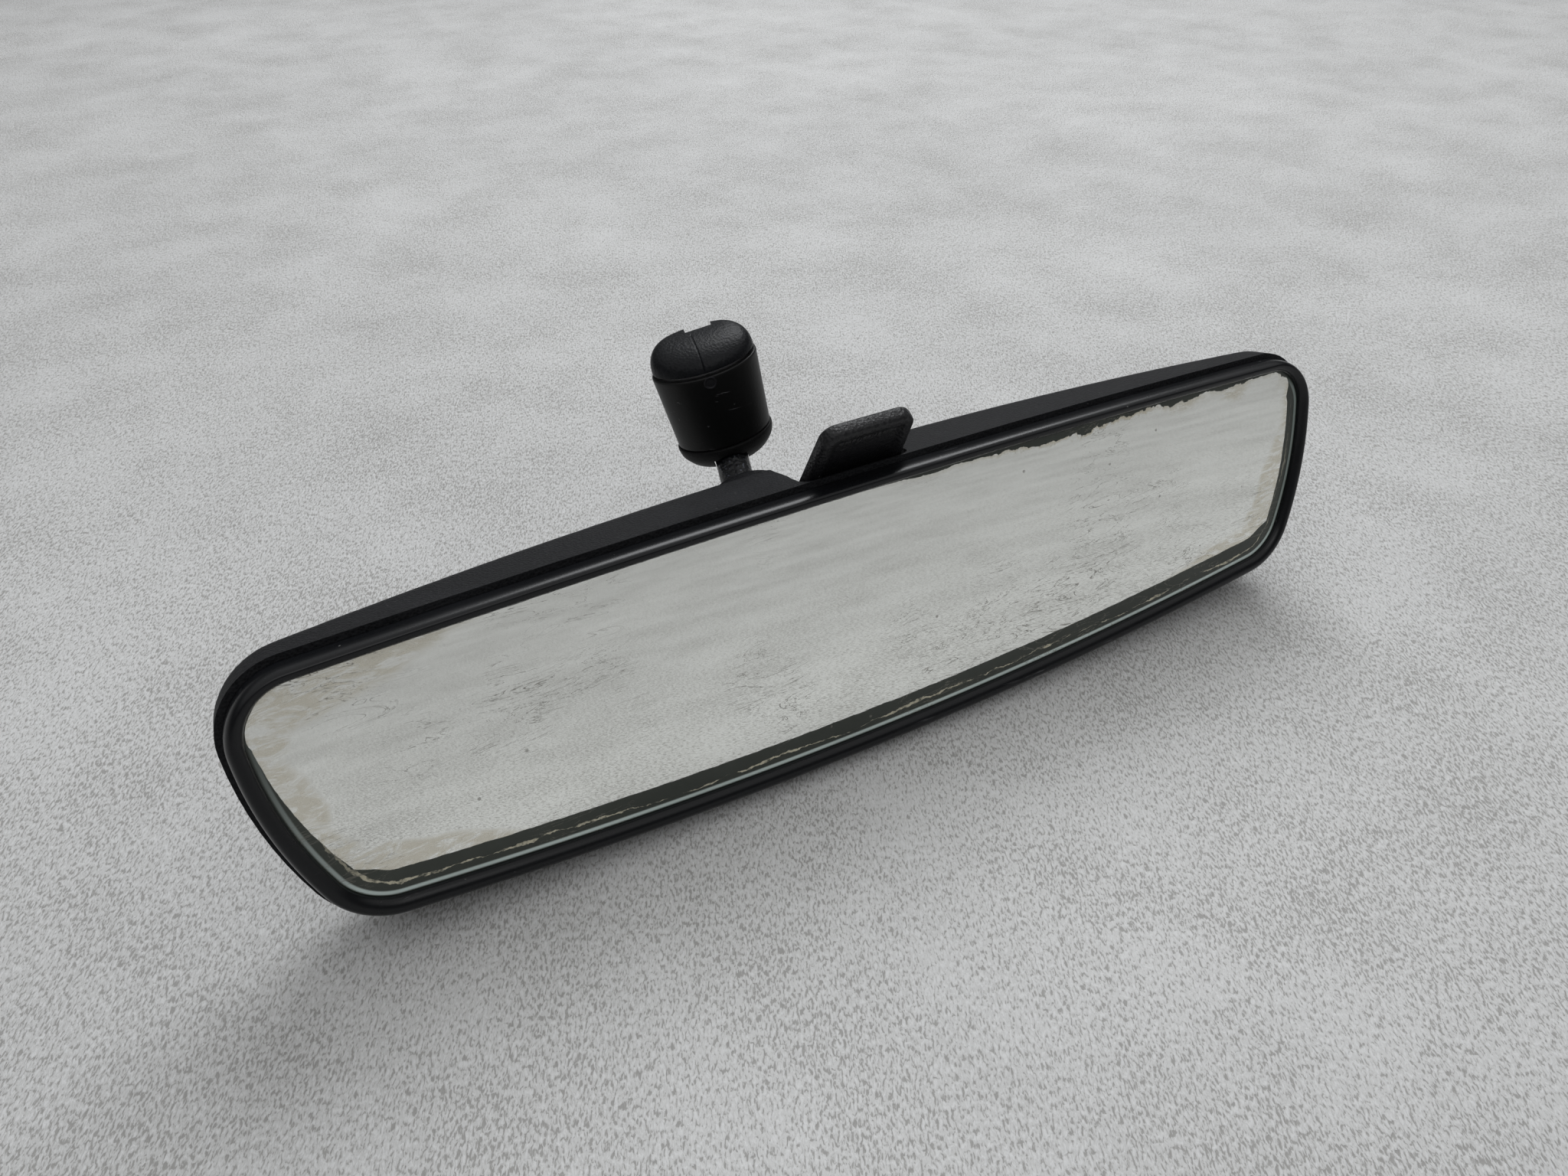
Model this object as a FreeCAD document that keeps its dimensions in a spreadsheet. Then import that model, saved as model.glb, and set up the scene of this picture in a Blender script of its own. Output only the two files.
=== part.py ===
import FreeCAD, Part
import Sketcher
import math
import os

os.makedirs("parts", exist_ok=True)
doc = FreeCAD.newDocument("RearviewMirror")
V = FreeCAD.Vector

# ---------------------------------------------------------------------------
# Driving dimensions, millimetres and degrees
# Head frame: X along the mirror, Y up the glass towards the flip tab,
# Z out of the glass towards the viewer. Depths behind the glass are negative Z.
# ---------------------------------------------------------------------------
SIZES = {
    # where the head stands in the part's frame
    "head_x": 0.0,
    "head_y": -26.15,
    "head_z": 32.58,
    "lean_back": 16.6,
    # outline of the lip round the glass: arcs on both long edges, both ends and four corners
    "wide_apex": 24.3,
    "wide_edge_radius": 3345.0,
    "narrow_apex": 28.2,
    "narrow_edge_radius": 1003.0,
    "end_radius": 73.7,
    "end_centre_x": 45.8,
    "end_centre_y": 13.9,
    "wide_corner": 9.5,
    "narrow_corner": 11.7,
    # front bezel
    "bezel_margin": 3.1,
    "bezel_shift": -0.6,
    "bezel_crest": 1.8,
    "bezel_back": 3.0,
    "bezel_outer_round": 2.3,
    "bezel_inner_round": 0.9,
    "glass_rebate": 1.0,
    # glass, coating and pad: thin at the wide edge, thick at the narrow edge
    "glass_margin": 0.8,
    "glass_wide_edge": 2.4,
    "wedge_angle": 3.6,
    "silver_thickness": 0.25,
    "silver_margin": 0.4,
    "pad_thickness": 0.8,
    "pad_margin": -4.0,
    # rear housing
    "housing_margin": 4.3,
    "housing_back_margin": 3.65,
    "housing_back_shift": 3.0,
    "housing_back_squeeze": 3.3,
    "housing_loft_depth": 26.0,
    "housing_depth": 23.2,
    "housing_back_radius": 680.0,
    "housing_back_round": 6.0,
    "housing_wall": 2.0,
    "turret_across": 1.5,
    "turret_radius": 15.0,
    "turret_taper": 0.5,
    "turret_end": 30.5,
    "turret_bore": 12.0,
    # ears for the two pins
    "ear_width": 2.8,
    "ear_gap": 0.5,
    "bracket_ear_half": 3.6,
    "tab_ear_half": 3.4,
    # slot in the wide wall and the flip tab in it
    "slot_width": 25.2,
    "slot_front": 3.6,
    "slot_back": 27.0,
    "slot_low": 21.0,
    "slot_corner": 2.5,
    "tab_pivot_up": 21.0,
    "tab_pivot_depth": 12.2,
    "tab_lean": 41.0,
    "tab_root_width": 23.0,
    "tab_top_width": 20.2,
    "tab_height": 23.3,
    "tab_thickness": 3.4,
    "tab_corner": 3.4,
    "tab_rim": 2.4,
    "tab_panel_depth": 0.8,
    "tab_hub_radius": 3.0,
    "pin_radius": 1.25,
    "pin_clearance": 0.05,
    # lower ball joint and its bracket
    "lower_ball_x": -15.0,
    "lower_ball_up": 10.0,
    "lower_ball_depth": 26.5,
    "lower_ball_radius": 6.5,
    "lower_seat_wall": 0.5,
    "ball_clearance": 0.06,
    "socket_radius": 9.2,
    "socket_lean": 24.0,
    "socket_mouth": 2.6,
    "bracket_width": 38.0,
    "bracket_low": -12.5,
    "bracket_high": 15.5,
    "bracket_depth": 13.0,
    "bracket_thickness": 2.2,
    "bracket_pivot_up": -10.0,
    "bracket_pivot_depth": 14.1,
    "bracket_hub_radius": 2.8,
    "stem_radius": 6.5,
    "spring_strip_width": 9.0,
    "spring_strip_thickness": 0.4,
    # twin-ball arm; the upper ball's place is given from the centre of the lip
    "upper_ball_x": -8.9,
    "upper_ball_y": 52.0,
    "upper_ball_z": 13.2,
    "upper_ball_radius": 5.2,
    "rod_radius": 3.75,
    # mount column, its own frame: origin at the upper ball, Z along the column, Y away from the viewer
    "column_lean_left": 11.3,
    "column_lean_back": 6.2,
    "column_yaw": -15.0,
    "sleeve_bottom": 2.9,
    "sleeve_height": 17.6,
    "sleeve_bottom_long": 10.6,
    "sleeve_bottom_short": 7.7,
    "sleeve_top_long": 11.7,
    "sleeve_top_short": 8.2,
    "sleeve_wall": 1.2,
    "cap_height": 5.6,
    "cap_gap": 0.7,
    "cap_inset": 0.35,
    "cap_wall": 0.8,
    "cap_notch_width": 6.0,
    "cap_notch_across": 1.2,
    "cap_notch_depth": 2.6,
    "bowl_depth": 6.4,
    "core_bottom": 1.0,
    "core_top": 22.4,
    "flat_back": 7.2,
    "upper_seat_wall": 0.5,
    "arm_azimuth": -7.2,
    "upper_mouth_lean": 38.0,
    "upper_mouth": 1.6,
    "spring_bore": 4.2,
    "plunger_top": 9.0,
    "spring_top": 14.6,
    "spring_wire": 0.45,
    "slot_top_width": 6.0,
    "slot_low_width": 8.0,
    "slot_depth": 2.0,
    "slot_start": 7.2,
    "pip_radius": 1.5,
    "pip_across": -0.5,
    "pip_below_top": 1.45,
}
sheet = doc.addObject("Spreadsheet::Sheet", "Sizes")
for line, (alias, value) in enumerate(SIZES.items(), start=1):
    sheet.set(f"A{line}", alias)
    sheet.set(f"B{line}", str(value))
    sheet.setAlias(f"B{line}", alias)
doc.recompute()


def size(alias):
    return float(getattr(sheet, alias))


nodes = []


def finish(obj, label, placement=None):
    """Name a sub-part, place it and list it for export."""
    obj.Label = label
    if placement is not None:
        obj.Placement = placement
    nodes.append(obj)
    return obj


def bind(obj, **expressions):
    """Bind properties to expressions; a double underscore in a name stands for a dot."""
    for prop, expression in expressions.items():
        obj.setExpression(prop.replace("__", "."), expression)
    return obj


def add(kind, name, **values):
    """Add an object and set its properties."""
    obj = doc.addObject(kind, name)
    for prop, value in values.items():
        setattr(obj, prop, value)
    return obj


def cut(name, base, tool):
    return add("Part::Cut", name, Base=base, Tool=tool)


def common(name, base, tool):
    return add("Part::Common", name, Base=base, Tool=tool)


def fuse(name, *shapes):
    return add("Part::MultiFuse", name, Shapes=list(shapes))


def box(name, x, y, z, length, width, height):
    """Box from its low corner; every argument is an expression."""
    obj = doc.addObject("Part::Box", name)
    bind(obj, Length=length, Width=width, Height=height,
         Placement__Base__x=x, Placement__Base__y=y, Placement__Base__z=z)
    return obj


def cylinder(name, radius, height, x="0", y="0", z="0", rotation=None):
    """Cylinder from its base centre; sizes and place are expressions."""
    obj = doc.addObject("Part::Cylinder", name)
    if rotation is not None:
        obj.Placement = FreeCAD.Placement(V(0, 0, 0), rotation)
    bind(obj, Radius=radius, Height=height,
         Placement__Base__x=x, Placement__Base__y=y, Placement__Base__z=z)
    return obj


def sphere(name, radius, x="0", y="0", z="0"):
    """Sphere from its centre; size and place are expressions."""
    obj = doc.addObject("Part::Sphere", name)
    bind(obj, Radius=radius, Placement__Base__x=x, Placement__Base__y=y, Placement__Base__z=z)
    return obj


ALONG_X = FreeCAD.Rotation(V(0, 1, 0), 90)
ALONG_BACK_Y = FreeCAD.Rotation(V(1, 0, 0), -90)


def plane_of(body, role):
    return next(f for f in body.Origin.OriginFeatures if f.Role == role)


def sketch_on(body, name, role="XY_Plane", lift="0"):
    """Sketch on one of the body's planes, lifted along its normal."""
    sketch = body.newObject("Sketcher::SketchObject", name)
    sketch.AttachmentSupport = [(plane_of(body, role), "")]
    sketch.MapMode = "FlatFace"
    sketch.setExpression("AttachmentOffset.Base.z", lift)
    return sketch


# ---------------------------------------------------------------------------
# The mirror outline: eight tangent arcs. Every contour of the head is this
# outline moved outwards by a margin and along Y by a shift.
# ---------------------------------------------------------------------------
def outline_geometry(margin, shift, squeeze):
    """Centres, radii and tangent points of the eight arcs, clockwise from the wide edge."""
    wide = (V(0, size("wide_apex") - size("wide_edge_radius") + shift - squeeze),
            size("wide_edge_radius") + margin)
    narrow = (V(0, size("narrow_edge_radius") - size("narrow_apex") + shift + squeeze),
              size("narrow_edge_radius") + margin)
    right = (V(size("end_centre_x"), size("end_centre_y") + shift), size("end_radius") + margin)
    left = (V(-size("end_centre_x"), size("end_centre_y") + shift), size("end_radius") + margin)

    def corner(edge, end, radius, side, up):
        """Centre of the fillet circle inside both circles, nearest the outline's corner."""
        (a, ra), (b, rb) = edge, end
        ra, rb = ra - radius, rb - radius
        span = (b - a).Length
        along = (span * span + ra * ra - rb * rb) / (2 * span)
        across = math.sqrt(ra * ra - along * along)
        e = (b - a) / span
        options = [a + e * along + V(-e.y, e.x) * across, a + e * along - V(-e.y, e.x) * across]
        target = V(side * 110, up * 25)
        return min(options, key=lambda p: (p - target).Length), radius

    wide_corner, narrow_corner = size("wide_corner") + margin, size("narrow_corner") + margin
    return [
        wide, corner(wide, right, wide_corner, 1, 1), right, corner(narrow, right, narrow_corner, 1, -1),
        narrow, corner(narrow, left, narrow_corner, -1, -1), left, corner(wide, left, wide_corner, -1, 1),
    ]


def add_outline(sketch, margin, shift="0", squeeze="0"):
    """Draw the outline; margin, shift and the squeeze of both long edges are sheet expressions."""
    circles = outline_geometry(value_of(margin), value_of(shift), value_of(squeeze))
    count = len(circles)
    touch = []
    for index in range(count):
        (a, ra), (b, rb) = circles[index], circles[(index + 1) % count]
        inner, radius, outer = (b, rb, a) if rb < ra else (a, ra, b)
        touch.append(inner + (inner - outer).normalize() * radius)
    arcs = []
    for index, (centre, radius) in enumerate(circles):
        start, end = touch[index], touch[index - 1]
        first = math.atan2(start.y - centre.y, start.x - centre.x)
        last = math.atan2(end.y - centre.y, end.x - centre.x)
        circle = Part.Circle(centre, V(0, 0, 1), radius)
        arcs.append(sketch.addGeometry(Part.ArcOfCircle(circle, first, last)))
    for index in range(count):
        following = arcs[(index + 1) % count]
        sketch.addConstraint(Sketcher.Constraint("Tangent", arcs[index], 1, following, 2))
    names = ["wide_edge_radius", "wide_corner", "end_radius", "narrow_corner",
             "narrow_edge_radius", "narrow_corner", "end_radius", "wide_corner"]
    for index, alias in enumerate(names):
        number = sketch.addConstraint(Sketcher.Constraint("Radius", arcs[index], circles[index][1]))
        sketch.setExpression(f"Constraints[{number}]", f"Sizes.{alias} + {margin}")
    places = {
        0: ("0", f"Sizes.wide_apex - Sizes.wide_edge_radius + {shift} - {squeeze}"),
        4: ("0", f"Sizes.narrow_edge_radius - Sizes.narrow_apex + {shift} + {squeeze}"),
        2: ("Sizes.end_centre_x", f"Sizes.end_centre_y + {shift}"),
        6: ("-Sizes.end_centre_x", f"Sizes.end_centre_y + {shift}"),
    }
    for index, (across, up) in places.items():
        centre = circles[index][0]
        if across == "0":
            sketch.addConstraint(Sketcher.Constraint("PointOnObject", arcs[index], 3, -2))
        else:
            number = sketch.addConstraint(
                Sketcher.Constraint("DistanceX", -1, 1, arcs[index], 3, centre.x))
            sketch.setExpression(f"Constraints[{number}]", across)
        number = sketch.addConstraint(Sketcher.Constraint("DistanceY", -1, 1, arcs[index], 3, centre.y))
        sketch.setExpression(f"Constraints[{number}]", up)


def value_of(expression):
    """Number behind a sum of sheet cells, for the first guess of a sketch."""
    total = 0.0
    for term in expression.replace("-", "+ -").split("+"):
        term = term.strip()
        if not term:
            continue
        sign = -1.0 if term.startswith("-") else 1.0
        term = term.lstrip("- ")
        total += sign * (size(term[6:]) if term.startswith("Sizes.") else float(term))
    return total


def outline_prism(name, margin, shift, low, height):
    """Body with the outline padded upwards from z = low."""
    body = doc.addObject("PartDesign::Body", name)
    sketch = sketch_on(body, name + "Outline", lift=low)
    add_outline(sketch, margin, shift)
    pad = body.newObject("PartDesign::Pad", name + "Pad")
    pad.Profile = sketch
    bind(pad, Length=height)
    return body


head_place = FreeCAD.Placement(V(size("head_x"), size("head_y"), size("head_z")),
                               FreeCAD.Rotation(V(1, 0, 0), 90 - size("lean_back")))

# ---------------------------------------------------------------------------
# front_bezel: rim with a rounded front and a rebate for the glass
# ---------------------------------------------------------------------------
bezel = outline_prism("Bezel", "Sizes.bezel_margin", "Sizes.bezel_shift",
                      "-Sizes.bezel_back", "Sizes.bezel_back + Sizes.bezel_crest")
lip = sketch_on(bezel, "BezelLip", lift="Sizes.bezel_crest")
add_outline(lip, "0")
opening = bezel.newObject("PartDesign::Pocket", "BezelOpening")
opening.Profile = lip
opening.Type = "ThroughAll"
rebate_sketch = sketch_on(bezel, "BezelRebateOutline", lift="0")
add_outline(rebate_sketch, "Sizes.glass_rebate")
rebate = bezel.newObject("PartDesign::Pocket", "BezelRebate")
rebate.Profile = rebate_sketch
bind(rebate, Length="Sizes.bezel_back")
doc.recompute()


def edges_at(shape, height, longer=True):
    """Names of the edges lying at a height; the outer or the inner loop of the two."""
    level = [(i + 1, e) for i, e in enumerate(shape.Edges)
             if abs(e.BoundBox.ZMin - height) < 1e-4 and abs(e.BoundBox.ZMax - height) < 1e-4]
    loops = Part.sortEdges([e for _, e in level])
    loops.sort(key=lambda loop: sum(e.Length for e in loop))
    wanted = loops[-1] if longer else loops[0]
    return [f"Edge{i}" for i, e in level if any(e.isSame(w) or e.isPartner(w) or
            (e.CenterOfMass - w.CenterOfMass).Length < 1e-6 for w in wanted)]


outer_round = bezel.newObject("PartDesign::Fillet", "BezelOuterRound")
outer_round.Base = (rebate, edges_at(rebate.Shape, size("bezel_crest")))
bind(outer_round, Radius="Sizes.bezel_outer_round")
doc.recompute()
inner_round = bezel.newObject("PartDesign::Fillet", "BezelInnerRound")
inner_round.Base = (outer_round, edges_at(outer_round.Shape, size("bezel_crest"), longer=False))
bind(inner_round, Radius="Sizes.bezel_inner_round")
finish(bezel, "front_bezel", head_place)

# ---------------------------------------------------------------------------
# mirror_glass, silver_layer, backing_pad: a wedge and the two sheets behind it
# ---------------------------------------------------------------------------
wedge_turn = FreeCAD.Rotation(V(1, 0, 0), size("wedge_angle"))
SLAB_REACH = 70


def sloping_slab(name, below, thickness):
    """Slab parallel to the back of the glass, its top face a distance below that back."""
    slab = doc.addObject("Part::Box", name)
    slab.Placement = FreeCAD.Placement(V(0, 0, 0), wedge_turn)
    lift = f"Sizes.glass_wide_edge + (({below}) + ({thickness})) / cos(Sizes.wedge_angle)"
    bind(slab, Length="300", Width=f"2 * {SLAB_REACH}", Height=thickness, Placement__Base__x="-150",
         Placement__Base__y=f"Sizes.wide_apex - {SLAB_REACH} * cos(Sizes.wedge_angle)",
         Placement__Base__z=f"-({lift}) - {SLAB_REACH} * sin(Sizes.wedge_angle)")
    return slab


glass_blank = outline_prism("GlassBlank", "Sizes.glass_margin", "0", "-12", "12")
mirror_glass = cut("MirrorGlass", glass_blank, sloping_slab("BehindGlass", "0", "20"))
finish(mirror_glass, "mirror_glass", head_place)

silver_blank = outline_prism("SilverBlank", "Sizes.silver_margin", "0", "-12", "12")
silver = common("Silver", silver_blank, sloping_slab("SilverSlab", "0", "Sizes.silver_thickness"))
finish(silver, "silver_layer", head_place)

pad_blank = outline_prism("PadBlank", "Sizes.pad_margin", "0", "-12", "12")
pad = common("Pad", pad_blank, sloping_slab("PadSlab", "Sizes.silver_thickness", "Sizes.pad_thickness"))
finish(pad, "backing_pad", head_place)


# ---------------------------------------------------------------------------
# rear_housing: tapered shell with a curved back, a turret round the lower
# ball socket, the flip tab's slot and ears for both pins
# ---------------------------------------------------------------------------
def shell_body(name, inset, rounding):
    """Tapered loft of the outline, limited by the curved back and rounded there."""
    body = doc.addObject("PartDesign::Body", name)
    front = sketch_on(body, name + "Front", lift="-Sizes.bezel_back")
    add_outline(front, f"Sizes.housing_margin - {inset}", "Sizes.bezel_shift")
    back = sketch_on(body, name + "Back", lift="-Sizes.housing_loft_depth")
    add_outline(back, f"Sizes.housing_back_margin - {inset}", "Sizes.housing_back_shift",
                "Sizes.housing_back_squeeze")
    loft = body.newObject("PartDesign::AdditiveLoft", name + "Loft")
    loft.Profile = front
    loft.Sections = [back]
    loft.Ruled = True
    barrel = cylinder(name + "Barrel", f"Sizes.housing_back_radius - {inset}", "120",
                      y="-60", z=f"Sizes.housing_back_radius - Sizes.housing_depth",
                      rotation=ALONG_BACK_Y)
    limited = common(name + "Limited", body, barrel)
    doc.recompute()
    rounded = add("Part::Fillet", name + "Rounded", Base=limited)
    surface = [f for f in limited.Shape.Faces if isinstance(f.Surface, Part.Cylinder)
               and f.Surface.Radius > 600 and f.BoundBox.ZMax < -size("bezel_back") - 1]
    rim = [e for f in surface for e in f.Edges]
    ids = [i + 1 for i, e in enumerate(limited.Shape.Edges) if any(e.isSame(r) for r in rim)]
    radius = size(rounding) - value_of(inset)
    rounded.Edges = [(i, radius, radius) for i in ids]
    return rounded


housing_outer = shell_body("HousingOuter", "0", "housing_back_round")
housing_core = shell_body("HousingCore", "Sizes.housing_wall", "housing_back_round")


def rounded_box(name, corners, direction, radius):
    """Box given by six expressions, its edges along a direction rounded."""
    block = box(name + "Block", *corners)
    doc.recompute()
    rounded = add("Part::Fillet", name, Base=block)
    edges = [i + 1 for i, e in enumerate(block.Shape.Edges)
             if abs(e.tangentAt(0).normalize().dot(direction)) > 0.99]
    rounded.Edges = [(i, radius, radius) for i in edges]
    return rounded


turret_cone = doc.addObject("Part::Cone", "TurretCone")
turret_cone.Placement = FreeCAD.Placement(V(0, 0, 0), FreeCAD.Rotation(V(1, 0, 0), 180))
turret_root = "(Sizes.housing_depth - 5)"
bind(turret_cone, Radius1="Sizes.turret_radius + Sizes.turret_taper", Radius2="Sizes.turret_radius",
     Height=f"Sizes.turret_end - {turret_root}",
     Placement__Base__x="Sizes.lower_ball_x + Sizes.turret_across",
     Placement__Base__y="Sizes.lower_ball_up", Placement__Base__z=f"-{turret_root}")
doc.recompute()
turret = add("Part::Fillet", "Turret", Base=turret_cone)
turret.Edges = [(i + 1, 1.4, 1.4) for i, e in enumerate(turret_cone.Shape.Edges)
                if abs(e.BoundBox.ZMax + size("turret_end")) < 1e-4
                and abs(e.BoundBox.ZMin + size("turret_end")) < 1e-4]
turret_bore = cylinder("TurretBore", "Sizes.turret_bore", "30",
                       x="Sizes.lower_ball_x + Sizes.turret_across", y="Sizes.lower_ball_up",
                       z="-Sizes.turret_end - 5")
slot = rounded_box("TabSlot", ["-Sizes.slot_width / 2", "Sizes.slot_low", "-Sizes.slot_back",
                               "Sizes.slot_width", "16", "Sizes.slot_back - Sizes.slot_front"],
                   V(0, 1, 0), size("slot_corner"))
hollow = cut("Hollow", fuse("Solid", housing_outer, turret), housing_core)
opened = cut("Opened", cut("Slotted", hollow, slot), turret_bore)

bracket_left = "(Sizes.lower_ball_x - Sizes.bracket_width / 2)"
bracket_right = "(Sizes.lower_ball_x + Sizes.bracket_width / 2)"
ears = []
bracket_pin_start = f"{bracket_left} - Sizes.ear_gap - Sizes.ear_width"
bracket_pin_length = "Sizes.bracket_width + 2 * (Sizes.ear_gap + Sizes.ear_width)"
tab_pin_start = "-Sizes.slot_width / 2 - Sizes.ear_width"
tab_pin_length = "Sizes.slot_width + 2 * Sizes.ear_width"
for side, start in (("Left", bracket_pin_start), ("Right", f"{bracket_right} + Sizes.ear_gap")):
    ears.append(box(f"BracketEar{side}", start, "Sizes.bracket_pivot_up - Sizes.bracket_ear_half",
                    "1.0 - Sizes.housing_depth", "Sizes.ear_width", "2 * Sizes.bracket_ear_half",
                    "Sizes.housing_depth - 1.0 - Sizes.bracket_pivot_depth + Sizes.tab_ear_half"))
for side, start in (("Left", tab_pin_start), ("Right", "Sizes.slot_width / 2")):
    ears.append(box(f"TabEar{side}", start, "Sizes.tab_pivot_up - 3.2",
                    "-Sizes.tab_pivot_depth - Sizes.tab_ear_half",
                    "Sizes.ear_width", "8.6", "2 * Sizes.tab_ear_half"))


def bracket_rod(name, radius):
    return cylinder(name, radius, bracket_pin_length, x=bracket_pin_start, y="Sizes.bracket_pivot_up",
                    z="-Sizes.bracket_pivot_depth", rotation=ALONG_X)


def tab_rod(name, radius):
    return cylinder(name, radius, tab_pin_length, x=tab_pin_start, y="Sizes.tab_pivot_up",
                    z="-Sizes.tab_pivot_depth", rotation=ALONG_X)


holes = fuse("EarHoles", bracket_rod("BracketEarHole", "Sizes.pin_radius"),
             tab_rod("TabEarHole", "Sizes.pin_radius"))
housing = cut("Housing", fuse("Eared", opened, *ears), holes)
finish(housing, "rear_housing", head_place)


def chamfered(name, rod, depth):
    """Rod with both ends chamfered."""
    doc.recompute()
    pin = add("Part::Chamfer", name, Base=rod)
    girth = 2 * math.pi * rod.Radius.Value
    pin.Edges = [(i + 1, depth, depth) for i, e in enumerate(rod.Shape.Edges)
                 if abs(e.Length - girth) < 1e-3]
    return pin


finish(chamfered("BracketPin", bracket_rod("BracketPinRod", "Sizes.pin_radius"), 0.3),
       "bracket_pin", head_place)
finish(chamfered("TabPin", tab_rod("TabPinRod", "Sizes.pin_radius"), 0.3), "tab_pin", head_place)

# ---------------------------------------------------------------------------
# flip_tab: hub on its pin, a neck through the slot and a lipped fin
# Its own frame: X along the pin, Y up the fin, Z out of its front face
# ---------------------------------------------------------------------------
def closed_polygon(sketch, points):
    """Lines through the points, joined end to end."""
    first = sketch.GeometryCount
    for start, end in zip(points, points[1:] + points[:1]):
        sketch.addGeometry(Part.LineSegment(start, end))
    for index in range(len(points)):
        following = (index + 1) % len(points)
        sketch.addConstraint(Sketcher.Constraint("Coincident", first + index, 2, first + following, 1))
    return first


def place_corner(sketch, line, across, up):
    """Fix the start of a line at two sheet expressions."""
    point = sketch.Geometry[line].StartPoint
    for kind, value, expression in (("DistanceX", point.x, across), ("DistanceY", point.y, up)):
        number = sketch.addConstraint(Sketcher.Constraint(kind, -1, 1, line, 1, value))
        sketch.setExpression(f"Constraints[{number}]", expression)


def trapezoid(sketch, low, high, low_half, high_half):
    """Symmetric trapezoid between two heights, given as expressions with their first values."""
    corners = [("-", low_half, low), ("+", low_half, low),
               ("+", high_half, high), ("-", high_half, high)]
    points = [V((1 if sign == "+" else -1) * half[1], level[1]) for sign, half, level in corners]
    first = closed_polygon(sketch, points)
    for index, (sign, half, level) in enumerate(corners):
        place_corner(sketch, first + index, f"{sign}({half[0]})", level[0])


def cell(expression, value):
    return expression, value


tab = doc.addObject("PartDesign::Body", "Tab")
fin_sketch = sketch_on(tab, "FinOutline", lift="-Sizes.tab_thickness / 2")
trapezoid(fin_sketch, cell("0", 0.0), cell("Sizes.tab_height", size("tab_height")),
          cell("Sizes.tab_root_width / 2", size("tab_root_width") / 2),
          cell("Sizes.tab_top_width / 2", size("tab_top_width") / 2))
fin = tab.newObject("PartDesign::Pad", "Fin")
fin.Profile = fin_sketch
bind(fin, Length="Sizes.tab_thickness")
doc.recompute()
corner_round = tab.newObject("PartDesign::Fillet", "FinCorners")
corner_round.Base = (fin, [f"Edge{i + 1}" for i, e in enumerate(fin.Shape.Edges)
                           if e.BoundBox.ZLength > size("tab_thickness") - 0.1
                           and e.CenterOfMass.y > 1])
bind(corner_round, Radius="Sizes.tab_corner")
doc.recompute()
panel_sketch = sketch_on(tab, "PanelOutline", lift="Sizes.tab_thickness / 2")
panel_low = size("tab_height") * 0.42


def panel_half(up):
    """Half width of the fin inside its rim, at a height."""
    taper = (size("tab_root_width") - size("tab_top_width")) / 2
    return size("tab_root_width") / 2 - taper * up / size("tab_height") - size("tab_rim")


trapezoid(panel_sketch, cell("Sizes.tab_height * 0.42", panel_low),
          cell("Sizes.tab_height - Sizes.tab_rim", size("tab_height") - size("tab_rim")),
          cell("Sizes.tab_root_width / 2 - Sizes.tab_rim - 0.8", size("tab_root_width") / 2
               - size("tab_rim") - 0.8),
          cell("Sizes.tab_top_width / 2 - Sizes.tab_rim", size("tab_top_width") / 2 - size("tab_rim")))
panel = tab.newObject("PartDesign::Pocket", "Panel")
panel.Profile = panel_sketch
bind(panel, Length="Sizes.tab_panel_depth")
doc.recompute()
rim_round = tab.newObject("PartDesign::Fillet", "FinRim")
front_face = size("tab_thickness") / 2
rim_round.Base = (panel, [f"Edge{i + 1}" for i, e in enumerate(panel.Shape.Edges)
                          if abs(abs(e.CenterOfMass.z) - front_face) < 1e-3
                          and e.BoundBox.ZLength < 1e-3
                          and e.CenterOfMass.y > 1
                          and (e.BoundBox.YMax > size("tab_height") - 1e-3
                               or abs(e.CenterOfMass.x) > panel_half(e.CenterOfMass.y) + 1.2)])
rim_round.Radius = 1.0
hub = cylinder("TabHub", "Sizes.tab_hub_radius", "Sizes.tab_root_width",
               x="-Sizes.tab_root_width / 2", rotation=ALONG_X)
tab_bore = cylinder("TabBore", "Sizes.pin_radius + Sizes.pin_clearance", "Sizes.tab_root_width + 2",
                    x="-Sizes.tab_root_width / 2 - 1", rotation=ALONG_X)
flip_tab = cut("FlipTab", fuse("TabWithHub", tab, hub), tab_bore)
tab_place = head_place.multiply(FreeCAD.Placement(
    V(0, size("tab_pivot_up"), -size("tab_pivot_depth")), FreeCAD.Rotation(V(1, 0, 0), size("tab_lean"))))
finish(flip_tab, "flip_tab", tab_place)

# ---------------------------------------------------------------------------
# Lower ball joint in the head: bracket with a spherical cup, ring and seat
# ---------------------------------------------------------------------------
ball_point = dict(x="Sizes.lower_ball_x", y="Sizes.lower_ball_up", z="-Sizes.lower_ball_depth")
lower_centre = V(size("lower_ball_x"), size("lower_ball_up"), -size("lower_ball_depth"))
# the socket's axis leaves the back of the head and leans towards the flip tab
socket_turn = FreeCAD.Rotation(V(1, 0, 0), 180 + size("socket_lean"))
seat_outer = "Sizes.lower_ball_radius + Sizes.ball_clearance + Sizes.lower_seat_wall"
cavity = f"{seat_outer} + Sizes.ball_clearance"


def half_space(name, centre, turn, distance):
    """Big box whose low face is square to the turned Z axis, a distance from the centre."""
    block = doc.addObject("Part::Box", name)
    bind(block, Length="60", Width="60", Height="40")
    local = FreeCAD.Placement(V(-30, -30, distance), FreeCAD.Rotation())
    block.Placement = FreeCAD.Placement(centre, turn).multiply(local)
    return block


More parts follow.
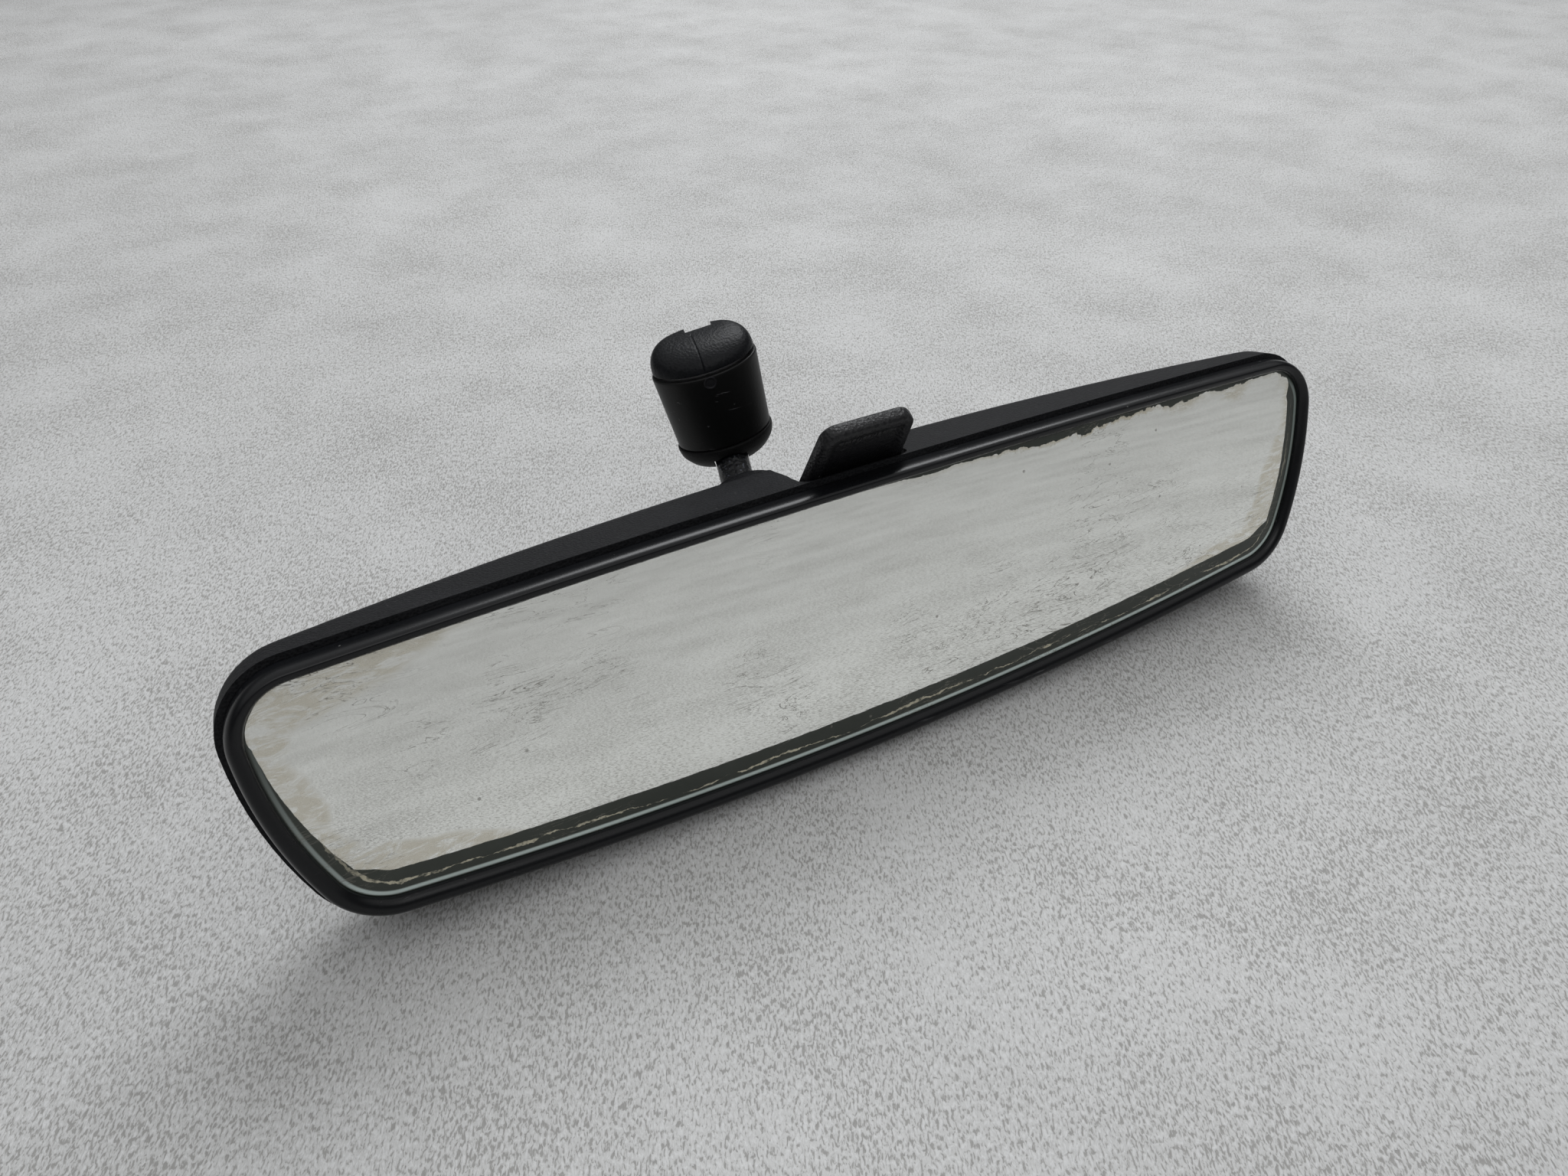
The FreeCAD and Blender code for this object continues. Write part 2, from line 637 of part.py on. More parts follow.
plate = rounded_box("BracketPlate", [bracket_left, "Sizes.bracket_low",
                                     "-Sizes.bracket_depth - Sizes.bracket_thickness",
                                     "Sizes.bracket_width", "Sizes.bracket_high - Sizes.bracket_low",
                                     "Sizes.bracket_thickness"], V(0, 0, 1), 3.0)
bracket_hub = cylinder("BracketHub", "Sizes.bracket_hub_radius", "Sizes.bracket_width", x=bracket_left,
                       y="Sizes.bracket_pivot_up", z="-Sizes.bracket_pivot_depth", rotation=ALONG_X)
stem = cylinder("Stem", "Sizes.stem_radius", "Sizes.lower_ball_depth - Sizes.bracket_depth",
                **ball_point)
cup = cut("Cup", sphere("CupBall", "Sizes.socket_radius", **ball_point),
          half_space("CupFront", lower_centre, socket_turn, 0.0))
bracket_solid = fuse("BracketSolid", plate, bracket_hub, cut("StemCut", stem, half_space(
    "StemFront", lower_centre, socket_turn, 0.0)), cup)
bracket_voids = fuse("BracketVoids", sphere("CupCavity", cavity, **ball_point),
                     cylinder("BracketBore", "Sizes.pin_radius + Sizes.pin_clearance",
                              "Sizes.bracket_width + 2", x=f"{bracket_left} - 1",
                              y="Sizes.bracket_pivot_up", z="-Sizes.bracket_pivot_depth",
                              rotation=ALONG_X))
finish(cut("SocketBracket", bracket_solid, bracket_voids), "socket_bracket", head_place)

ring_ball = cut("RingBall", sphere("RingOuter", "Sizes.socket_radius", **ball_point),
                sphere("RingCavity", cavity, **ball_point))
ring_zone = cut("RingZone", half_space("RingBack", lower_centre, socket_turn, 0.0),
                half_space("RingFront", lower_centre, socket_turn, size("socket_mouth")))
finish(common("SocketRing", ring_ball, ring_zone), "socket_ring", head_place)

seat_shell = cut("LowerSeatShell", sphere("LowerSeatOuter", seat_outer, **ball_point),
                 sphere("LowerSeatInner", "Sizes.lower_ball_radius + Sizes.ball_clearance", **ball_point))
finish(cut("LowerSeat", seat_shell, half_space("LowerSeatMouth", lower_centre, socket_turn,
                                               size("socket_mouth"))), "lower_seat", head_place)

# detent_spring: a bent strip on the bracket, its free end under the tab's hub
strip = doc.addObject("PartDesign::Body", "DetentStrip")
strip_sketch = sketch_on(strip, "StripSide", role="YZ_Plane")
thick = size("spring_strip_thickness")
plate_front = -size("bracket_depth")
strip_rise = 2.2
profile = [V(-6, plate_front), V(5, plate_front), V(16.9, plate_front + strip_rise),
           V(16.9, plate_front + strip_rise + thick), V(4.9, plate_front + thick),
           V(-6, plate_front + thick)]
first_line = closed_polygon(strip_sketch, profile)
for index, point in enumerate(profile):
    place_corner(strip_sketch, first_line + index, f"{point.x}",
                 f"-Sizes.bracket_depth + {point.y - plate_front:.3f}")
strip_pad = strip.newObject("PartDesign::Pad", "StripPad")
strip_pad.Profile = strip_sketch
bind(strip_pad, Length="Sizes.spring_strip_width")
finish(strip, "detent_spring", head_place.multiply(
    FreeCAD.Placement(V(-10.5, 0, 0), FreeCAD.Rotation())))

# ---------------------------------------------------------------------------
# ball_arm: one forged rod with a ball at each end, along its own Z
# ---------------------------------------------------------------------------
lower_ball = head_place.multVec(lower_centre)
upper_ball = head_place.Base + V(size("upper_ball_x"), size("upper_ball_y"), size("upper_ball_z"))
arm_line = upper_ball - lower_ball
arm_place = FreeCAD.Placement(lower_ball, FreeCAD.Rotation(V(0, 0, 1), arm_line))
reach_cell = len(SIZES) + 1
sheet.set(f"A{reach_cell}", "arm_span")
sheet.set(f"B{reach_cell}", f"{arm_line.Length:.3f}")
sheet.setAlias(f"B{reach_cell}", "arm_span")
doc.recompute()
rod = fuse("ArmRod", sphere("LowerBall", "Sizes.lower_ball_radius"),
           sphere("UpperBall", "Sizes.upper_ball_radius", z="Sizes.arm_span"),
           cylinder("Rod", "Sizes.rod_radius", "Sizes.arm_span"))
doc.recompute()
arm = add("Part::Fillet", "Arm", Base=rod)
rod_girth = 2 * math.pi * size("rod_radius")
arm.Edges = [(i + 1, 1.0, 1.0) for i, e in enumerate(rod.Shape.Edges)
             if abs(e.Length - rod_girth) < 1e-3]
finish(arm, "ball_arm", arm_place)

# ---------------------------------------------------------------------------
# Mount column: oval sleeve, cap and bowl on a die-cast core
# ---------------------------------------------------------------------------
column_turn = FreeCAD.Rotation(V(1, 0, 0), -size("column_lean_back")).multiply(
    FreeCAD.Rotation(V(0, 1, 0), -size("column_lean_left"))).multiply(
    FreeCAD.Rotation(V(0, 0, 1), size("column_yaw")))
column_place = FreeCAD.Placement(upper_ball, column_turn)
sleeve_top = "(Sizes.sleeve_bottom + Sizes.sleeve_height)"


def oval_solid(name, sections, ruled=True):
    """Loft through ovals, each given as expressions: long half, short half, height, shift along Y."""
    ovals = []
    for index, (long_half, short_half, height, shift) in enumerate(sections):
        oval = doc.addObject("Part::Ellipse", f"{name}Oval{index}")
        bind(oval, MajorRadius=long_half, MinorRadius=short_half,
             Placement__Base__z=height, Placement__Base__y=shift)
        ovals.append(oval)
    return add("Part::Loft", name, Sections=ovals, Solid=True, Ruled=ruled)


def sleeve_section(inset, low, high):
    return [(f"Sizes.sleeve_bottom_long - {inset}", f"Sizes.sleeve_bottom_short - {inset}", low, "0"),
            (f"Sizes.sleeve_top_long - {inset}", f"Sizes.sleeve_top_short - {inset}", high, "0")]


BACK_WIDTH = 11.0
sleeve_wall = cut(
    "SleeveWall",
    oval_solid("SleeveOuter", sleeve_section("0", "Sizes.sleeve_bottom", sleeve_top)),
    oval_solid("SleeveInner", sleeve_section("Sizes.sleeve_wall", "Sizes.sleeve_bottom", sleeve_top)))
back_window = box("SleeveWindow", f"-{BACK_WIDTH / 2}", "0", "Sizes.sleeve_bottom - 1",
                  str(BACK_WIDTH), "12", "Sizes.sleeve_height + 2")
pip_up = f"({sleeve_top} - Sizes.pip_below_top)"
pip_across = "Sizes.pip_across"
pip_hole = cylinder("PipHole", "Sizes.pip_radius", "4", x=pip_across, y="-Sizes.sleeve_top_short - 1",
                    z=pip_up, rotation=ALONG_BACK_Y)
sleeve = cut("Sleeve", cut("SleeveOpen", sleeve_wall, back_window), pip_hole)
finish(sleeve, "cover_sleeve", column_place)

pip = cylinder("LockPip", "Sizes.pip_radius", "2.4", x=pip_across, y="-Sizes.sleeve_top_short - 0.25",
               z=pip_up, rotation=ALONG_BACK_Y)

# mount_core: oval block with a flat back pad, ball cavity, spring bore and windscreen slot
core_inset = "(Sizes.sleeve_wall + 0.1)"
core_block = fuse("CoreBlock", oval_solid("CoreOval", sleeve_section(core_inset, "Sizes.core_bottom",
                                                                     "Sizes.core_top")),
                  box("CoreBack", f"-{BACK_WIDTH / 2 - 0.2}", "0", "Sizes.core_bottom",
                      f"{BACK_WIDTH - 0.4}", "Sizes.flat_back", "Sizes.core_top - Sizes.core_bottom"))
# the rod leaves the column forwards and a little to the left; the mouth leans that way
towards_arm = FreeCAD.Rotation(V(0, 0, 1), size("arm_azimuth"))
upper_turn = towards_arm.multiply(FreeCAD.Rotation(V(1, 0, 0), 180 - size("upper_mouth_lean")))
upper_seat_outer = "Sizes.upper_ball_radius + Sizes.ball_clearance + Sizes.upper_seat_wall"
upper_cavity = f"{upper_seat_outer} + Sizes.ball_clearance"
slot_body = doc.addObject("PartDesign::Body", "WindscreenSlotTool")
slot_sketch = sketch_on(slot_body, "WindscreenSlotOutline", role="XZ_Plane",
                        lift="-Sizes.flat_back")
trapezoid(slot_sketch, cell("Sizes.slot_start", size("slot_start")),
          cell("Sizes.core_top + 1", size("core_top") + 1),
          cell("Sizes.slot_low_width / 2", size("slot_low_width") / 2),
          cell("Sizes.slot_top_width / 2", size("slot_top_width") / 2))
slot_pad = slot_body.newObject("PartDesign::Pad", "WindscreenSlotPad")
slot_pad.Profile = slot_sketch
bind(slot_pad, Length="Sizes.slot_depth")
core_voids = fuse("CoreVoids", sphere("UpperCavity", upper_cavity),
                  cylinder("SpringBore", "Sizes.spring_bore", "Sizes.core_top"),
                  half_space("UpperMouth", V(0, 0, 0), upper_turn, size("upper_mouth")),
                  slot_body,
                  cylinder("PipSocket", "Sizes.pip_radius", "6", x=pip_across,
                           y="-Sizes.sleeve_top_short - 0.25", z=pip_up, rotation=ALONG_BACK_Y))
core = cut("MountCore", core_block, core_voids)
finish(core, "mount_core", column_place)
finish(cut("PipTrimmed", pip, cylinder("PipClear", "Sizes.spring_bore", "Sizes.core_top")),
       "lock_pip", column_place)

upper_shell = cut("UpperSeatShell", sphere("UpperSeatOuter", upper_seat_outer),
                  sphere("UpperSeatInner", "Sizes.upper_ball_radius + Sizes.ball_clearance"))
finish(cut("UpperSeat", upper_shell, half_space("UpperSeatMouth", V(0, 0, 0), upper_turn,
                                                size("upper_mouth"))), "upper_seat", column_place)

plunger = cut("Plunger", cylinder("PlungerBlank", "Sizes.spring_bore - Sizes.ball_clearance",
                                  "Sizes.plunger_top - 3", z="3"), sphere("PlungerCup", upper_cavity))
finish(plunger, "seat_plunger", column_place)

spring_body = doc.addObject("PartDesign::Body", "SpringBody")
wire_sketch = sketch_on(spring_body, "SpringWire", role="XZ_Plane")
coil_radius = "Sizes.spring_bore - Sizes.spring_wire - 0.3"
coil_start = value_of(coil_radius)
wire_circle = wire_sketch.addGeometry(Part.Circle(V(coil_start, 0), V(0, 0, 1), size("spring_wire")))
wire_radius = wire_sketch.addConstraint(Sketcher.Constraint("Radius", wire_circle, size("spring_wire")))
wire_sketch.setExpression(f"Constraints[{wire_radius}]", "Sizes.spring_wire")
wire_out = wire_sketch.addConstraint(
    Sketcher.Constraint("DistanceX", -1, 1, wire_circle, 3, coil_start))
wire_sketch.setExpression(f"Constraints[{wire_out}]", coil_radius)
wire_sketch.addConstraint(Sketcher.Constraint("PointOnObject", wire_circle, 3, -1))
coil = spring_body.newObject("PartDesign::AdditiveHelix", "SpringCoil")
coil.Profile = wire_sketch
coil.ReferenceAxis = (wire_sketch, ["V_Axis"])
coil.Mode = 0
bind(coil, Pitch="1.3", Height="Sizes.spring_top - Sizes.plunger_top - 2 * Sizes.spring_wire - 0.1")
finish(spring_body, "seat_spring", column_place.multiply(FreeCAD.Placement(
    V(0, 0, size("plunger_top") + size("spring_wire") + 0.05), FreeCAD.Rotation())))

hex_key = doc.addObject("Part::Prism", "HexKey")
bind(hex_key, Circumradius="2.3", Height="3", Placement__Base__z="Sizes.spring_top + 1.6")
hex_key.Polygon = 6
spring_screw = cut("SpringScrew",
                   cylinder("ScrewBlank", "Sizes.spring_bore - 0.02", "3.9", z="Sizes.spring_top"),
                   hex_key)
finish(spring_screw, "spring_screw", column_place)

# cover_cap: dome that leans to the far side, with a notch in its far rim and a moulding line
cap_low = f"({sleeve_top} + Sizes.cap_gap)"
cap_high = f"({sleeve_top} + Sizes.cap_height)"
cap_long = "(Sizes.sleeve_top_long - Sizes.cap_inset)"
cap_short = "(Sizes.sleeve_top_short - Sizes.cap_inset)"
dome = oval_solid("CapDome", [
    (cap_long, cap_short, cap_low, "0"),
    (f"{cap_long} * 0.995", f"{cap_short} * 0.99", f"{cap_low} + 2.0", "0.05"),
    (f"{cap_long} * 0.91", f"{cap_short} * 0.85", f"{cap_low} + 3.7", "0.6"),
    (f"{cap_long} * 0.62", f"{cap_short} * 0.50", cap_high, "1.7"),
], ruled=False)
cap_recess = oval_solid("CapRecess", [
    (f"{cap_long} - Sizes.cap_wall", f"{cap_short} - Sizes.cap_wall", cap_low, "0"),
    (f"{cap_long} - Sizes.cap_wall", f"{cap_short} - Sizes.cap_wall", "Sizes.core_top + 0.05", "0")])
cap_notch = box("CapNotch", "Sizes.cap_notch_across - Sizes.cap_notch_width / 2", "4.2",
                f"{cap_high} - Sizes.cap_notch_depth", "Sizes.cap_notch_width", "8", "6")
cap_tools = fuse("CapTools", cap_recess, cap_notch,
                 box("CapBackPad", f"-{BACK_WIDTH / 2}", "0", f"{cap_low} - 1", str(BACK_WIDTH),
                     "Sizes.flat_back + 6", f"Sizes.core_top + 1.05 - {cap_low}"))
finish(cut("Cap", dome, cap_tools), "cover_cap", column_place)

# cover_bowl: rounded lower shell with the rod's slot
bowl_outer = oval_solid("BowlOuter", [
    ("Sizes.sleeve_bottom_long - 0.1", "Sizes.sleeve_bottom_short - 0.1", "Sizes.sleeve_bottom - 0.2", "0"),
    ("Sizes.sleeve_bottom_long - 0.4", "Sizes.sleeve_bottom_short - 0.5",
     "Sizes.sleeve_bottom - Sizes.bowl_depth * 0.4", "0"),
    ("Sizes.sleeve_bottom_long - 2.0", "Sizes.sleeve_bottom_short - 1.9",
     "Sizes.sleeve_bottom - Sizes.bowl_depth * 0.78", "0"),
    ("Sizes.sleeve_bottom_long - 4.4", "Sizes.sleeve_bottom_short - 3.6",
     "Sizes.sleeve_bottom - Sizes.bowl_depth", "0"),
], ruled=False)
bowl_inner = oval_solid("BowlInner", sleeve_section(core_inset, "Sizes.core_bottom - 0.05",
                                                    "Sizes.core_top"))
ROD_SLOT_GAP = 0.6
ARM_HIGHEST = 68.0
rod_slot_half = f"(Sizes.rod_radius + {ROD_SLOT_GAP})"


def rod_swept(name, angle):
    """Rod-shaped tool leaving the ball at an angle from straight down."""
    turn = towards_arm.multiply(FreeCAD.Rotation(V(1, 0, 0), 180 - angle))
    return cylinder(name, rod_slot_half, "20", rotation=turn)


def swing_slot():
    """Fan that the rod sweeps in the bowl, between straight down and its highest place."""
    fan = doc.addObject("Part::Box", "SlotFan")
    bind(fan, Length=f"2 * {rod_slot_half}", Width="20", Height="20")
    local = FreeCAD.Placement(V(-size("rod_radius") - ROD_SLOT_GAP, -20, -20), FreeCAD.Rotation())
    fan.Placement = FreeCAD.Placement(V(0, 0, 0), towards_arm).multiply(local)
    return fan


bowl = bowl_outer
for tool in (bowl_inner, sphere("BowlBall", upper_cavity), swing_slot(),
             rod_swept("SlotHigh", ARM_HIGHEST),
             box("BowlWindow", f"-{BACK_WIDTH / 2}", "0", "Sizes.core_bottom - 0.05",
                 str(BACK_WIDTH), "Sizes.flat_back + 0.6", "10")):
    bowl = cut(f"BowlWithout{tool.Name}", bowl, tool)
finish(bowl, "cover_bowl", column_place)

# ---------------------------------------------------------------------------
# Check every object, then write the sub-parts
# ---------------------------------------------------------------------------
doc.recompute()
for obj in doc.Objects:
    if "Invalid" in obj.State or "Error" in obj.State:
        raise RuntimeError(f"{obj.Name} failed: {obj.State}")
for node in nodes:
    shape = node.Shape
    if shape.isNull() or not shape.isValid() or not shape.Solids:
        raise RuntimeError(f"{node.Label} has no valid solid")
    shape.exportStep(f"parts/{node.Label}.step")
print(f"{len(nodes)} sub-parts written")
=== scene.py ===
import math

import bmesh
import bpy
from mathutils import Matrix, Vector, noise


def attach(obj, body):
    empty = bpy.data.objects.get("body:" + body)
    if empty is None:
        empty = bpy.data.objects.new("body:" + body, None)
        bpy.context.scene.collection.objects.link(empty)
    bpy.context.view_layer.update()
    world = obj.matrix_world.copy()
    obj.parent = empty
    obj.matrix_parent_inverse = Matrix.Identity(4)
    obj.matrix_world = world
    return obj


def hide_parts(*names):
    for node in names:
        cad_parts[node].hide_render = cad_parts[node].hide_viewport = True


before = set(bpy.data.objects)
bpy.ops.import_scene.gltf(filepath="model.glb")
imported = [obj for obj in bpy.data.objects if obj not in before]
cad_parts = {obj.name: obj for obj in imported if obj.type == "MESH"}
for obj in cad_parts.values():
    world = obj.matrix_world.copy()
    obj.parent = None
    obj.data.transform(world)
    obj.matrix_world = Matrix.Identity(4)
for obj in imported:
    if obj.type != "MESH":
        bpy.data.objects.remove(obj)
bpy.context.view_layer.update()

MM = 0.001

# ---------------------------------------------------------------------------
# Frames of the head, the tab, the arm and the column (lengths in millimetres)
# ---------------------------------------------------------------------------
LEAN_BACK = 16.6
TAB_LEAN = 41.0
COLUMN_LEAN_BACK, COLUMN_LEAN_LEFT, COLUMN_YAW = -6.2, -11.3, -15.0
ARM_AZIMUTH, ARM_HIGHEST = -7.2, 68.0
HEAD = Matrix.Translation((0.0, -26.15, 32.58)) @ Matrix.Rotation(math.radians(90 - LEAN_BACK), 4, "X")
TAB = HEAD @ Matrix.Translation((0.0, 21.0, -12.2)) @ Matrix.Rotation(math.radians(TAB_LEAN), 4, "X")
UPPER_BALL = Vector((-8.9, 25.85, 45.78))
LOWER_BALL = HEAD @ Vector((-15.0, 10.0, -26.5))
COLUMN = (Matrix.Translation(UPPER_BALL) @ Matrix.Rotation(math.radians(COLUMN_LEAN_BACK), 4, "X")
          @ Matrix.Rotation(math.radians(COLUMN_LEAN_LEFT), 4, "Y")
          @ Matrix.Rotation(math.radians(COLUMN_YAW), 4, "Z"))
LIP_TOP, LIP_BOTTOM = 24.3, -28.2
GLASS_THIN_EDGE, GLASS_WEDGE = 2.4, 3.6
RIM_WIDTH, RIM_DROP, RIM_CREST, RIM_BACK = 3.1, -0.6, 1.8, -3.0
SLEEVE_LOW, SLEEVE_HIGH = 2.9, 20.5
SLEEVE_FLAT_HALF = 5.5
ROD_RADIUS, ROD_SLOT_HALF = 3.75, 3.88
PIP_ACROSS, PIP_BELOW_TOP = -0.5, 1.45


def smoothstep(low, high, x):
    t = min(1.0, max(0.0, (x - low) / (high - low)))
    return t * t * (3 - 2 * t)


def mix(a, b, t):
    return a + (b - a) * t


# ---------------------------------------------------------------------------
# Mesh helpers
# ---------------------------------------------------------------------------
def outward(mesh):
    """Faces turned outwards and shaded smooth."""
    work = bmesh.new()
    work.from_mesh(mesh)
    bmesh.ops.recalc_face_normals(work, faces=work.faces)
    for face in work.faces:
        face.smooth = True
    work.to_mesh(mesh)
    work.free()


def make_object(name, verts, faces, placement, attributes=None):
    """Smooth mesh object from millimetre points in a local frame."""
    mesh = bpy.data.meshes.new(name)
    mesh.from_pydata([tuple((placement @ Vector(v)) * MM) for v in verts], [], faces)
    mesh.validate()
    for key, values in (attributes or {}).items():
        layer = mesh.attributes.new(key, "FLOAT", "POINT")
        layer.data.foreach_set("value", values)
    outward(mesh)
    obj = bpy.data.objects.new(name, mesh)
    bpy.context.scene.collection.objects.link(obj)
    return obj


def grid_faces(rows, columns, closed_columns=True, closed_rows=False, flip=False):
    """Quads of a grid whose vertex (row, column) is row * columns + column."""
    faces = []
    for r in range(rows if closed_rows else rows - 1):
        for c in range(columns if closed_columns else columns - 1):
            a = r * columns + c
            b = r * columns + (c + 1) % columns
            d = ((r + 1) % rows) * columns + c
            e = ((r + 1) % rows) * columns + (c + 1) % columns
            faces.append((a, d, e, b) if flip else (a, b, e, d))
    return faces


def carve(obj, *tools):
    """Cut tool objects out of obj for good."""
    for tool in tools:
        modifier = obj.modifiers.new("cut", "BOOLEAN")
        modifier.operation, modifier.object, modifier.solver = "DIFFERENCE", tool, "EXACT"
    bpy.context.view_layer.update()
    evaluated = obj.evaluated_get(bpy.context.evaluated_depsgraph_get())
    carved = bpy.data.meshes.new_from_object(evaluated)
    obj.modifiers.clear()
    obj.data = carved
    obj.data.set_sharp_from_angle(angle=math.radians(40))
    for tool in tools:
        bpy.data.objects.remove(tool)


def block(name, low, high, placement):
    """Box tool between two corners of a local frame."""
    verts = [(x, y, z) for x in (low[0], high[0]) for y in (low[1], high[1]) for z in (low[2], high[2])]
    faces = [(0, 1, 3, 2), (4, 6, 7, 5), (0, 4, 5, 1), (2, 3, 7, 6), (0, 2, 6, 4), (1, 5, 7, 3)]
    tool = make_object(name, verts, faces, placement)
    for polygon in tool.data.polygons:
        polygon.use_smooth = False
    return tool


def lathe(name, profile, sides, placement):
    """Turned solid from (radius, height) pairs along the local Z axis."""
    verts = [(r * math.cos(2 * math.pi * k / sides), r * math.sin(2 * math.pi * k / sides), z)
             for r, z in profile for k in range(sides)]
    faces = grid_faces(len(profile), sides)
    last = (len(profile) - 1) * sides
    faces += [tuple(reversed(range(sides))), tuple(range(last, last + sides))]
    return make_object(name, verts, faces, placement)


def oval_rings(name, sections, sides, placement, shape=None):
    """Closed skin through ovals (long half, short half, height, shift along Y)."""
    verts = []
    for a, b, z, shift in sections:
        for k in range(sides):
            angle = 2 * math.pi * k / sides
            spot = Vector((a * math.cos(angle), b * math.sin(angle) + shift, z))
            verts.append(shape(spot) if shape else spot)
    faces = grid_faces(len(sections), sides)
    last = (len(sections) - 1) * sides
    faces += [tuple(reversed(range(sides))), tuple(range(last, last + sides))]
    return make_object(name, verts, faces, placement)


# ---------------------------------------------------------------------------
# Outline of the mirror: eight tangent arcs sampled with their outward normals
# ---------------------------------------------------------------------------
def outline_samples():
    wide_radius, narrow_radius = 3345.0, 1003.0
    wide = (Vector((0.0, LIP_TOP - wide_radius)), wide_radius)
    narrow = (Vector((0.0, narrow_radius + LIP_BOTTOM)), narrow_radius)
    ends = {side: (Vector((side * 45.8, 13.9)), 73.7) for side in (-1, 1)}

    def corner(edge, end, radius, side, up):
        (a, ra), (b, rb) = edge, end
        ra, rb = ra - radius, rb - radius
        span = (b - a).length
        along = (span * span + ra * ra - rb * rb) / (2 * span)
        across = math.sqrt(ra * ra - along * along)
        e = (b - a) / span
        side_step = Vector((-e.y, e.x)) * across
        target = Vector((side * 110.0, up * 25.0))  # of the two tangent circles, the one at this corner
        return min((a + e * along + side_step, a + e * along - side_step),
                   key=lambda p: (p - target).length), radius

    circles = [wide, corner(wide, ends[1], 9.5, 1, 1), ends[1], corner(narrow, ends[1], 11.7, 1, -1),
               narrow, corner(narrow, ends[-1], 11.7, -1, -1), ends[-1], corner(wide, ends[-1], 9.5, -1, 1)]
    counts = [200, 22, 30, 24, 200, 24, 30, 22]
    touch = []
    for index in range(8):
        (a, ra), (b, rb) = circles[index], circles[(index + 1) % 8]
        inner, radius, outer = (b, rb, a) if rb < ra else (a, ra, b)
        touch.append(inner + (inner - outer).normalized() * radius)
    samples = []
    for index, (centre, radius) in enumerate(circles):
        start, end = touch[index - 1], touch[index]
        first = math.atan2(start.y - centre.y, start.x - centre.x)
        last = math.atan2(end.y - centre.y, end.x - centre.x)
        while last > first:
            last -= 2 * math.pi
        for step in range(counts[index]):
            angle = mix(first, last, step / counts[index])
            normal = Vector((math.cos(angle), math.sin(angle)))
            samples.append((centre + normal * radius, normal))
    return samples


OUTLINE = outline_samples()

# ---------------------------------------------------------------------------
# Procedural materials
# ---------------------------------------------------------------------------


class Paint:
    """A node material and short calls to grow its tree."""

    def __init__(self, name):
        self.material = bpy.data.materials.new(name)
        self.material.use_nodes = True
        self.tree = self.material.node_tree
        self.shader = next(n for n in self.tree.nodes if n.type == "BSDF_PRINCIPLED")
        self.place = self.node("ShaderNodeTexCoord").outputs["Object"]

    def node(self, kind, inputs=None, **props):
        new = self.tree.nodes.new(kind)
        for key, value in props.items():
            setattr(new, key, value)
        for key, value in (inputs or {}).items():
            self.feed(new.inputs[key], value)
        return new

    def feed(self, socket, value):
        if isinstance(value, bpy.types.NodeSocket):
            self.tree.links.new(value, socket)
        else:
            socket.default_value = value

    def math(self, operation, *values, clamp=False):
        new = self.node("ShaderNodeMath", operation=operation, use_clamp=clamp)
        for socket, value in zip(new.inputs, values):
            self.feed(socket, value)
        return new.outputs[0]

    def step(self, value, low, high):
        """Smooth ramp from 0 at low to 1 at high."""
        new = self.node("ShaderNodeMapRange", {"Value": value, "From Min": low, "From Max": high},
                        interpolation_type="SMOOTHSTEP")
        return new.outputs["Result"]

    def scaled(self, x, y, z):
        return self.node("ShaderNodeMapping", {"Vector": self.place, "Scale": (x, y, z)}).outputs[0]

    def noise(self, scale, detail=3.0, rough=0.55, vector=None, distortion=0.0):
        new = self.node("ShaderNodeTexNoise", {
            "Vector": vector or self.place, "Scale": scale, "Detail": detail,
            "Roughness": rough, "Distortion": distortion})
        return new.outputs["Fac"]

    def cells(self, scale):
        return self.node("ShaderNodeTexVoronoi", {"Vector": self.place, "Scale": scale}).outputs["Distance"]

    def blend(self, amount, a, b):
        new = self.node("ShaderNodeMix", data_type="RGBA")
        self.feed(new.inputs[0], amount)
        self.feed(new.inputs[6], a)
        self.feed(new.inputs[7], b)
        return new.outputs[2]

    def number(self, amount, a, b):
        new = self.node("ShaderNodeMix", data_type="FLOAT")
        for socket, value in zip((new.inputs[0], new.inputs[2], new.inputs[3]), (amount, a, b)):
            self.feed(socket, value)
        return new.outputs[0]

    def bump(self, height, distance, after=None):
        new = self.node("ShaderNodeBump", {"Height": height, "Distance": distance, "Strength": 1.0})
        if after is not None:
            self.feed(new.inputs["Normal"], after)
        return new.outputs["Normal"]

    def attribute(self, name):
        return self.node("ShaderNodeAttribute", attribute_name=name).outputs["Fac"]

    def set(self, **values):
        for key, value in values.items():
            self.feed(self.shader.inputs[key.replace("_", " ")], value)


